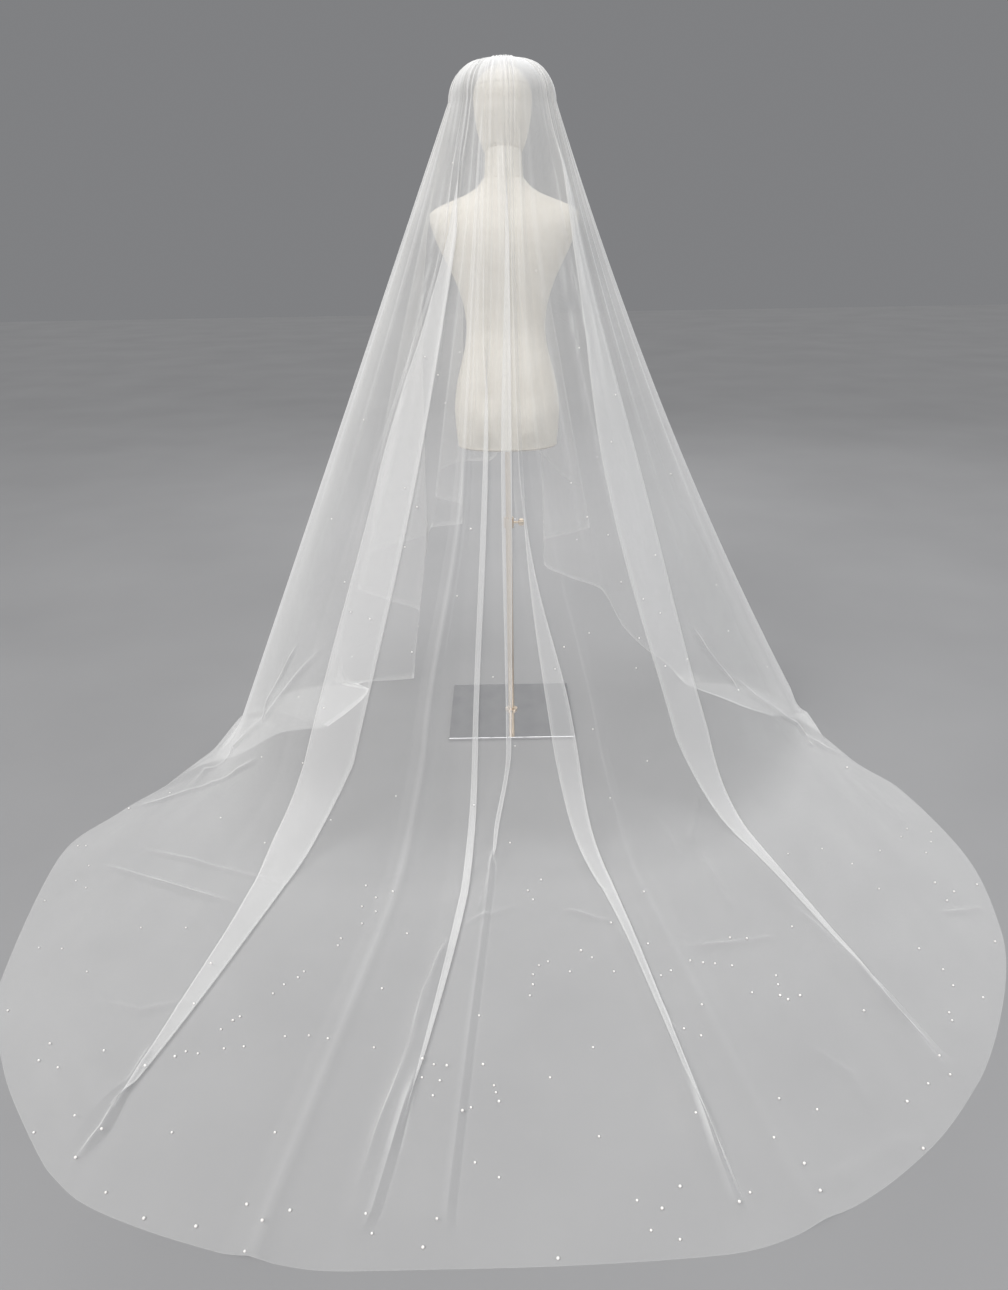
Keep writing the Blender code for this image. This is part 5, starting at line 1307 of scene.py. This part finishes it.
# the veil
def cloth_piece(name, grid, normals, crowd, creases):
    """A sheet that stands for its CAD node, with finer cloth beside its creases."""
    piece = grid_object(name, grid, crowd, tulle_finish)
    mesh = piece.data
    base = grid.reshape(-1, 3)
    tree = KDTree(len(base))
    for i, point in enumerate(base.tolist()):
        tree.insert(point, i)
    tree.balance()
    shell = bmesh.new()
    shell.from_mesh(mesh)
    shell.faces.ensure_lookup_table()
    centres = np.array([face.calc_center_median() for face in shell.faces])
    _, beside = crease_lift(centres, creases)
    edges = {edge for i in np.where(beside)[0] for edge in shell.faces[i].edges}
    bmesh.ops.subdivide_edges(shell, edges=list(edges), cuts=2, use_grid_fill=True)
    shell.to_mesh(mesh)
    shell.free()
    points = np.empty(len(mesh.vertices) * 3, np.float32)
    mesh.vertices.foreach_get("co", points)
    points = points.reshape(-1, 3).astype(float)
    lift, _ = crease_lift(points, creases)
    directions = normals.reshape(-1, 3)
    for i in np.where(np.abs(lift) > 1e-6)[0]:
        _, nearest, _ = tree.find(points[i])
        points[i] += directions[nearest] * lift[i]
    points[:, 2] = np.maximum(points[:, 2], FLOOR_LEVEL)
    mesh.vertices.foreach_set("co", points.astype(np.float32).ravel())
    mesh.shade_smooth()
    mesh.update()
    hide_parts(name.removesuffix("_cloth"))
    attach(piece, "root")
    return piece


def away_from_pole(grid):
    """Level directions, out from the pole."""
    out = grid * np.array([0.5, 1.0, 0.0])
    return out / np.maximum(np.linalg.norm(out, axis=-1, keepdims=True), 1e-9)


back, back_normals, back_crowd = back_sheet()
front, front_crowd = front_sheet()
back_piece = cloth_piece("veil_back_cloth", back, back_normals, back_crowd,
                         creases_on(back, CREASES))
front_piece = cloth_piece("veil_front_cloth", front, away_from_pole(front), front_crowd,
                          FRONT_CREASES)


# pearls
# Where the pearls of the back show, as pixels of the photograph, by diameter.
LARGE_PEARL, MIDDLE_PEARL, SMALL_PEARL = 0.0051, 0.0043, 0.0033
LARGE_PEARLS = (
    (393, 892), (581, 951), (175, 1057), (145, 1066), (233, 1021), (422, 1059), (447, 1066),
    (483, 1065), (499, 1102), (462, 1111), (788, 1000), (780, 996), (800, 996), (680, 1187),
    (662, 1209), (739, 1202), (290, 1211), (262, 1221), (247, 1205), (196, 1227), (144, 1219),
    (423, 1248), (558, 1259), (907, 1102), (923, 1149), (820, 1191), (804, 1164), (129, 809),
    (211, 964), (101, 1129), (76, 1158), (471, 529), (847, 768),
)
MIDDLE_PEARLS = (
    (106, 1193), (34, 1133), (172, 1133), (275, 1133), (75, 1116), (50, 1044), (39, 1061),
    (58, 1068), (104, 1051), (8, 1011), (198, 1054), (186, 1052), (224, 1049), (244, 1047),
    (240, 1017), (221, 1030), (285, 1037), (309, 1036), (328, 1039), (374, 1048), (382, 989),
    (298, 978), (304, 972), (284, 985), (273, 994), (194, 1004), (338, 946), (341, 939),
    (362, 924), (362, 907), (376, 898), (376, 912), (366, 886), (407, 934), (422, 1078),
    (440, 1081), (434, 1065), (433, 1096), (471, 1108), (494, 1086), (496, 1093), (550, 1078),
    (479, 1016), (475, 1163), (499, 1178), (599, 1137), (593, 1048), (539, 966), (548, 962),
    (533, 975), (533, 985), (530, 996), (570, 972), (592, 958), (614, 972), (611, 923),
    (644, 892), (648, 944), (528, 891), (533, 900), (541, 880), (510, 843), (661, 976),
    (671, 971), (690, 961), (703, 963), (715, 964), (732, 966), (730, 938), (747, 939),
    (702, 1005), (684, 1029), (701, 1036), (752, 993), (776, 976), (778, 985), (792, 927),
    (864, 1011), (952, 1021), (949, 1013), (983, 998), (953, 986), (943, 970), (919, 949),
    (995, 942), (947, 901), (935, 883), (954, 892), (977, 885), (939, 1056), (950, 1075),
    (928, 1084), (979, 1095), (779, 1099), (817, 1110), (774, 1138), (696, 1113), (750, 1193),
    (637, 1201), (680, 1240), (651, 1231), (245, 1252), (366, 1214), (372, 1234), (437, 1219),
    (370, 619), (417, 507), (587, 517), (615, 395), (564, 647), (738, 690), (412, 652),
)
SMALL_PEARLS = (
    (39, 948), (62, 949), (87, 972), (141, 928), (186, 928), (45, 901), (86, 888), (76, 881),
    (89, 866), (86, 846), (78, 846), (265, 843), (221, 818), (170, 793), (262, 757), (331, 820),
    (324, 708), (303, 763), (396, 796), (474, 805), (515, 746), (647, 761), (593, 729),
    (610, 798), (788, 854), (822, 849), (880, 851), (879, 889), (852, 864), (901, 837),
    (907, 829), (931, 832), (931, 842), (926, 853), (906, 791), (364, 420), (332, 519),
    (345, 582), (351, 612), (405, 488), (457, 596), (493, 677), (425, 357), (438, 375),
    (611, 442), (571, 483), (515, 519), (608, 535), (655, 555), (621, 582), (643, 599),
    (660, 613), (716, 585), (728, 631), (639, 638), (589, 633), (555, 669), (665, 666),
    (687, 659), (671, 474), (767, 667), (636, 668), (405, 547), (579, 348), (453, 163),
    (536, 271), (670, 474),
)
FRONT_PEARLS = 34


def sewn_pearls():
    shell = bmesh.new()
    back_tree = BVHTree.FromObject(back_piece, bpy.context.evaluated_depsgraph_get())
    front_tree = BVHTree.FromObject(front_piece, bpy.context.evaluated_depsgraph_get())
    for size, places in ((LARGE_PEARL, LARGE_PEARLS), (MIDDLE_PEARL, MIDDLE_PEARLS),
                         (SMALL_PEARL, SMALL_PEARLS)):
        for across, down in places:
            spot, normal = seen_on(back_tree, across, down)
            if spot is None:
                continue
            if normal.dot(VIEWPOINT - spot) < 0:
                normal = -normal
            middle = spot + normal * 0.35 * size
            middle.z = max(middle.z, size / 2)
            bmesh.ops.create_icosphere(shell, subdivisions=2, radius=size / 2,
                                       matrix=Matrix.Translation(middle))
    chance = np.random.default_rng(5)
    columns, rows = front.shape[:2]
    for k in range(FRONT_PEARLS):
        i = int((k + chance.uniform(0.1, 0.9)) / FRONT_PEARLS * (columns - 1))
        j = int(chance.uniform(0.35, 0.97) * (rows - 1))
        spot, normal, _, _ = front_tree.find_nearest(Vector(front[i, j]))
        out = Vector((0.4 * spot.x, spot.y, 0.0 if spot.z > 0.1 else 1.0))
        if normal.dot(out) < 0:
            normal = -normal
        radius = 0.0005 * (3.2 if chance.uniform() < 0.6 else 4.4)
        middle = spot + normal * 0.7 * radius
        middle.z = max(middle.z, radius)
        bmesh.ops.create_icosphere(shell, subdivisions=2, radius=radius,
                                   matrix=Matrix.Translation(middle))
    mesh = bpy.data.meshes.new("sewn_pearls")
    shell.to_mesh(mesh)
    shell.free()
    mesh.materials.append(pearl_material)
    mesh.shade_smooth()
    made = bpy.data.objects.new("sewn_pearls", mesh)
    bpy.context.scene.collection.objects.link(made)
    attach(made, "root")
    return made


pearls = sewn_pearls()


# dress form
def lofted(name, rings, finish, cap=True):
    rings = np.array(rings)
    count, sides = rings.shape[:2]
    faces = [(i * sides + k, i * sides + (k + 1) % sides,
              (i + 1) * sides + (k + 1) % sides, (i + 1) * sides + k)
             for i in range(count - 1) for k in range(sides)]
    if cap:
        faces.append(tuple(range(sides))[::-1])
        faces.append(tuple((count - 1) * sides + k for k in range(sides)))
    mesh = bpy.data.meshes.new(name)
    mesh.from_pydata(rings.reshape(-1, 3).tolist(), [], faces)
    around = np.zeros((count, sides + 1))
    closed = np.concatenate([rings, rings[:, :1]], axis=1)
    around[:, 1:] = np.cumsum(np.linalg.norm(np.diff(closed, axis=1), axis=-1), axis=1)
    up = np.concatenate([[0.0], np.cumsum(np.linalg.norm(np.diff(rings[:, 0], axis=0), axis=-1))])
    layer = mesh.uv_layers.new(name="cloth")
    chart = []
    for i in range(count - 1):
        for k in range(sides):
            chart += [(around[i, k], up[i]), (around[i, k + 1], up[i]),
                      (around[i + 1, k + 1], up[i + 1]), (around[i + 1, k], up[i + 1])]
    if cap:
        chart += [(p[0], p[1]) for p in rings[0][::-1]]
        chart += [(p[0], p[1]) for p in rings[-1]]
    layer.data.foreach_set("uv", np.array(chart, np.float32).ravel())
    mesh.materials.append(finish)
    mesh.shade_smooth()
    mesh.set_sharp_from_angle(angle=math.radians(50.0))
    made = bpy.data.objects.new(name, mesh)
    bpy.context.scene.collection.objects.link(made)
    return made


def form_ring(height, half_width, front_depth, back_depth, sides, squareness, tilt=0.0):
    ring = []
    for k in range(sides):
        angle = 2 * math.pi * k / sides
        c, s = math.cos(angle), math.sin(angle)
        depth = front_depth if s > 0 else back_depth
        x = half_width * math.copysign(abs(c) ** (2 / squareness), c)
        y = depth * math.copysign(abs(s) ** (2 / squareness), s)
        ring.append((x, y, height + tilt * y))
    return ring


def fine_sections(sections, step):
    table = np.array(sections)
    count = int(math.ceil((table[-1, 0] - table[0, 0]) / step))
    heights = np.unique(np.concatenate([np.linspace(table[0, 0], table[-1, 0], count), table[:, 0]]))
    return [(z, *(float(hermite(table[:, 0], table[:, i], z)) for i in (1, 2, 3))) for z in heights]


FORM_SIDES = 96
torso_rings = [form_ring(z, w, f, b, FORM_SIDES, TORSO_SQUARENESS)
               for z, w, f, b in fine_sections(TORSO_SECTIONS, 0.008)]
# The low back of the form swells to either side of its centre line.
SEAT = (0.010, 0.062, 0.032)
SEAT_HEIGHTS = (0.855, 0.905, 0.925, 1.000)
SEAT_VALLEY = (0.006, 0.016)


def seated(x, y, z):
    """A point of the form's back, moved out or in with the swells of the seat."""
    if y > 0:
        return (x, y, z)
    grown = ease(*SEAT_HEIGHTS[:2], z) * (1 - ease(*SEAT_HEIGHTS[2:], z))
    swell = SEAT[0] * math.exp(-(((abs(x) - SEAT[1]) / SEAT[2]) ** 2))
    valley = SEAT_VALLEY[0] * math.exp(-((x / SEAT_VALLEY[1]) ** 2))
    return (x, y - float(grown) * (swell - valley), z)


torso_rings = [[seated(*spot) for spot in ring] for ring in torso_rings]
torso = lofted("form_torso_cover", torso_rings, fabric_finish)
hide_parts("form_torso")
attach(torso, "root")

neck_low, neck_high = NECK_SECTIONS[0][0], NECK_SECTIONS[-1][0]
neck_rings = [form_ring(z, w, f, b, FORM_SIDES, FORM_ROUNDNESS,
                        NECK_TILT * (z - neck_low) / (neck_high - neck_low))
              for z, w, f, b in fine_sections(NECK_SECTIONS, 0.005)]
neck = lofted("form_neck_cover", neck_rings, fabric_finish)
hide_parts("form_neck")
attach(neck, "root")

head_low, head_high = HEAD_SECTIONS[0][0], HEAD_WIDEST_Z
head_table = HEAD_SECTIONS + ((HEAD_WIDEST_Z, HEAD_HALF_WIDTH, HEAD_HALF_DEPTH, HEAD_HALF_DEPTH),)
head_rings = [form_ring(z, w, f, b, FORM_SIDES, FORM_ROUNDNESS,
                        NECK_TILT * (1 - (z - head_low) / (head_high - head_low)))
              for z, w, f, b in fine_sections(head_table, 0.006)]
for k in range(1, 22):
    angle = math.radians(88.0) * k / 21
    shrink = math.cos(angle)
    head_rings.append(form_ring(HEAD_WIDEST_Z + HEAD_RISE * math.sin(angle), HEAD_HALF_WIDTH * shrink,
                                HEAD_HALF_DEPTH * shrink, HEAD_HALF_DEPTH * shrink, FORM_SIDES,
                                FORM_ROUNDNESS))
head = lofted("form_head_cover", head_rings, fabric_finish)
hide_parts("form_head")
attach(head, "root")


def head_surface(x, y):
    inside = 1 - (x / HEAD_HALF_WIDTH) ** 2 - (y / HEAD_HALF_DEPTH) ** 2
    return HEAD_WIDEST_Z + HEAD_RISE * math.sqrt(max(inside, 0.0))


def rail(name, line, out, width, height, finish, closed=False):
    """A low raised line along points, lying on the surface whose outward direction is out."""
    line, out = np.array(line), np.array(out)
    along = np.roll(line, -1, axis=0) - np.roll(line, 1, axis=0) if closed else np.gradient(line, axis=0)
    along /= np.linalg.norm(along, axis=-1, keepdims=True)
    side = np.cross(along, out)
    side /= np.linalg.norm(side, axis=-1, keepdims=True)
    profile = ((-1.0, -0.6), (-0.6, 0.6), (0.0, 1.0), (0.6, 0.6), (1.0, -0.6))
    rows = np.array([[p + s * width * a + o * height * b for a, b in profile]
                     for p, s, o in zip(line, side, out)])
    count, wide = rows.shape[:2]
    last = count if closed else count - 1
    faces = [(i * wide + k, ((i + 1) % count) * wide + k,
              ((i + 1) % count) * wide + k + 1, i * wide + k + 1)
             for i in range(last) for k in range(wide - 1)]
    faces += [(i * wide + wide - 1, ((i + 1) % count) * wide + wide - 1,
               ((i + 1) % count) * wide, i * wide) for i in range(last)]
    mesh = bpy.data.meshes.new(name)
    mesh.from_pydata(rows.reshape(-1, 3).tolist(), [], faces)
    layer = mesh.uv_layers.new(name="cloth")
    chart = []
    for i in range(last):
        for k in range(wide - 1):
            chart += [(i * 0.004, k * 0.001), ((i + 1) * 0.004, k * 0.001),
                      ((i + 1) * 0.004, (k + 1) * 0.001), (i * 0.004, (k + 1) * 0.001)]
    for i in range(last):
        chart += [(i * 0.004, 0.004), ((i + 1) * 0.004, 0.004), ((i + 1) * 0.004, 0.0), (i * 0.004, 0.0)]
    layer.data.foreach_set("uv", np.array(chart, np.float32).ravel())
    mesh.materials.append(finish)
    mesh.shade_smooth()
    made = bpy.data.objects.new(name, mesh)
    bpy.context.scene.collection.objects.link(made)
    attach(made, "root")
    return made


# heading
HEADING_STOPS = 220
HEADING_ROUND = 28


def ruched_heading():
    """The sheet drawn up on its thread: uneven tucks over the comb's spine."""
    chance = np.random.default_rng(3)
    count = 26
    places = (np.arange(count) + 0.5 + chance.uniform(-0.3, 0.3, count)) / count * 2 - 1
    heights = chance.uniform(0.0012, 0.0034, count)
    widths = chance.uniform(0.018, 0.034, count)
    rings = []
    for share in np.linspace(-1, 1, HEADING_STOPS):
        x = HEADING_HALF_LENGTH * share
        bottom = head_surface(x, 0.0) + COMB_THICK + 2 * GAP
        top = HEADING_TOP - HEADING_SAG * share**2
        tuck = float(np.sum(heights * np.exp(-(((share - places) / widths) ** 2))))
        end = math.sqrt(max(1 - abs(share) ** 6, 0.02))
        oval = math.sqrt(max(1 - share**2, 0.02))
        half = (HEADING_HALF_DEPTH - 0.0012) * oval
        middle, rise = (top + bottom) / 2, (top - bottom) / 2
        ring = []
        for k in range(HEADING_ROUND):
            angle = 2 * math.pi * k / HEADING_ROUND
            c, s = math.cos(angle), math.sin(angle)
            lean = 0.0007 * math.sin(9 * share + 2 * angle)
            out = tuck * (0.35 + 0.65 * max(s, 0.0)) - 0.0012
            ring.append((x + lean, (half + 0.6 * out * oval) * math.copysign(abs(c) ** 0.7, c),
                         middle + (rise * end) * math.copysign(abs(s) ** 0.7, s)
                         + (out * end if s > 0 else 0.0)))
        rings.append(ring)
    made = lofted("gathered_heading_ruche", rings, heading_finish)
    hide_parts("gathered_heading")
    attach(made, "root")
    return made


heading = ruched_heading()
stitch_line = []
for share in np.linspace(-0.92, 0.92, 47):
    x = HEADING_HALF_LENGTH * float(share)
    top = HEADING_TOP - HEADING_SAG * float(share) ** 2
    oval = math.sqrt(max(1 - float(share) ** 2, 0.02))
    stitch_line.append((x, -(HEADING_HALF_DEPTH + 0.0002) * oval, top - 0.0048))


def stitches(name, line, length, thick, finish):
    """Short rounded stitches along a line, with gaps between them."""
    shell = bmesh.new()
    line = [Vector(p) for p in line]
    for start, end in zip(line[:-1:2], line[1::2]):
        middle = (start + end) / 2
        along = (end - start).normalized()
        turn = along.to_track_quat("Z", "Y").to_matrix().to_4x4()
        scale = Matrix.Diagonal((thick, thick, length / 2, 1.0))
        bmesh.ops.create_icosphere(shell, subdivisions=2, radius=1.0,
                                   matrix=Matrix.Translation(middle) @ turn @ scale)
    mesh = bpy.data.meshes.new(name)
    shell.to_mesh(mesh)
    shell.free()
    mesh.materials.append(finish)
    mesh.shade_smooth()
    made = bpy.data.objects.new(name, mesh)
    bpy.context.scene.collection.objects.link(made)
    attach(made, "root")
    return made


heading_thread = stitches("heading_thread", stitch_line, 0.0026, 0.0004, thread_finish)


# form seams
def torso_point(z, side):
    """Centre line of the torso at the back (-1) or front (1)."""
    table = np.array(TORSO_SECTIONS)
    depth = float(hermite(table[:, 0], table[:, 3 if side < 0 else 2], z))
    return (0.0, side * depth, z)


heights = np.linspace(TORSO_SECTIONS[0][0] + 0.004, TORSO_SECTIONS[-1][0] - 0.001, 120)
for name, side in (("centre_back_seam", -1), ("centre_front_seam", 1)):
    line = [seated(*torso_point(float(z), side)) for z in heights]
    rail(name, line, [(0.0, side, 0.0)] * len(line), 0.0011, 0.0006, seam_finish)
for name, side in (("left_side_seam", -1), ("right_side_seam", 1)):
    table = np.array(TORSO_SECTIONS)
    low_heights = heights[heights < 1.44]
    line = [(side * float(hermite(table[:, 0], table[:, 1], z)), 0.0, float(z)) for z in low_heights]
    rail(name, line, [(side, 0.0, 0.0)] * len(line), 0.0011, 0.0006, seam_finish)


def ring_seam(name, z, half_width, front_depth, back_depth, squareness, tilt, width, height):
    ring = form_ring(z, half_width, front_depth, back_depth, FORM_SIDES, squareness, tilt)
    outs = [Vector((p[0], p[1], 0.0)).normalized() for p in ring]
    rail(name, ring, outs, width, height, seam_finish, closed=True)


ring_seam("neck_base_seam", 1.5300, 0.0522, 0.0500, 0.0530, FORM_ROUNDNESS, 0.0, 0.0016, 0.0009)
ring_seam("bottom_edge_binding", 0.8530, 0.1385, 0.1025, 0.1085, TORSO_SQUARENESS, 0.0, 0.0030, 0.0008)
ring_seam("head_base_seam", 1.5903, 0.0472, 0.0600, 0.0488, FORM_ROUNDNESS, NECK_TILT, 0.0014, 0.0009)
cap_rise = (1.7370 - HEAD_WIDEST_Z) / HEAD_RISE
cap_shrink = math.sqrt(1 - cap_rise**2)
ring_seam("head_cap_seam", 1.7370, HEAD_HALF_WIDTH * cap_shrink, HEAD_HALF_DEPTH * cap_shrink,
          HEAD_HALF_DEPTH * cap_shrink, FORM_ROUNDNESS, 0.0, 0.0013, 0.0007)


# stage
bpy.ops.mesh.primitive_plane_add(size=40.0, location=(0.0, 0.0, 0.0))
ground = bpy.context.object
ground.name = "studio_floor"
ground_finish, ground_tree, ground_shader = tree_of("studio_floor")
ground_place = add(ground_tree, "ShaderNodeTexCoord").outputs["Object"]
ground_cloud = add(ground_tree, "ShaderNodeTexNoise")
ground_cloud.inputs["Scale"].default_value = 1.2
ground_cloud.inputs["Detail"].default_value = 5.0
join(ground_tree, ground_place, ground_cloud.inputs["Vector"])
join(ground_tree, ramp(ground_tree, ground_cloud.outputs["Fac"],
                       ((0.3, (0.265, 0.265, 0.27)), (0.7, (0.29, 0.29, 0.295)))),
     ground_shader.inputs["Base Color"])
ground_shader.inputs["Roughness"].default_value = 0.75
ground.data.materials.append(ground_finish)

world = bpy.data.worlds.new("studio")
world.use_nodes = True
world.node_tree.nodes["Background"].inputs[0].default_value = (0.43, 0.435, 0.45, 1.0)
world.node_tree.nodes["Background"].inputs[1].default_value = 0.50
bpy.context.scene.world = world


def soft_light(name, place, aim, size, power, colour=(1, 1, 1)):
    data = bpy.data.lights.new(name, "AREA")
    data.shape = "RECTANGLE"
    data.size, data.size_y = size
    data.energy = power
    data.color = colour
    made = bpy.data.objects.new(name, data)
    made.location = place
    made.rotation_euler = (Vector(aim) - Vector(place)).to_track_quat("-Z", "Y").to_euler()
    bpy.context.scene.collection.objects.link(made)


soft_light("key", (-2.8, -3.6, 3.8), (0.0, -0.4, 0.8), (2.6, 2.0), 105.0, (1.0, 0.985, 0.96))
soft_light("fill", (3.4, -2.4, 3.0), (0.0, -0.5, 0.6), (2.4, 2.4), 55.0, (0.97, 0.985, 1.0))
soft_light("rim", (0.6, 3.6, 3.6), (0.0, 0.0, 1.0), (3.2, 1.4), 60.0)
overhead = bpy.data.lights.new("overhead", "SUN")
overhead.energy = 1.9
overhead.angle = math.radians(70.0)
overhead_light = bpy.data.objects.new("overhead", overhead)
overhead_light.rotation_euler = (math.radians(18.0), math.radians(-12.0), 0.0)
bpy.context.scene.collection.objects.link(overhead_light)

camera_data = bpy.data.cameras.new("camera")
camera = bpy.data.objects.new("camera", camera_data)
camera.location = VIEWPOINT
camera.rotation_euler = VIEW_TURN.to_euler()
camera_data.sensor_width = 36.0
camera_data.lens = PHOTO_FOCUS / PHOTO_HEIGHT * camera_data.sensor_width
camera_data.sensor_fit = "AUTO"
camera_data.clip_start = 0.02
bpy.context.scene.collection.objects.link(camera)
bpy.context.scene.camera = camera
bpy.context.scene.cycles.transparent_max_bounces = 36
bpy.context.scene.view_settings.view_transform = "Standard"

for name in ("pole_upper", "pole_lower", "pole_collar", "collar_knob", "foot_flange"):
    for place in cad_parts[name].material_slots:
        place.material = gold_finish
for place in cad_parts["base_plate"].material_slots:
    place.material = plate_finish
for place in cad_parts["comb"].material_slots:
    place.material = comb_finish
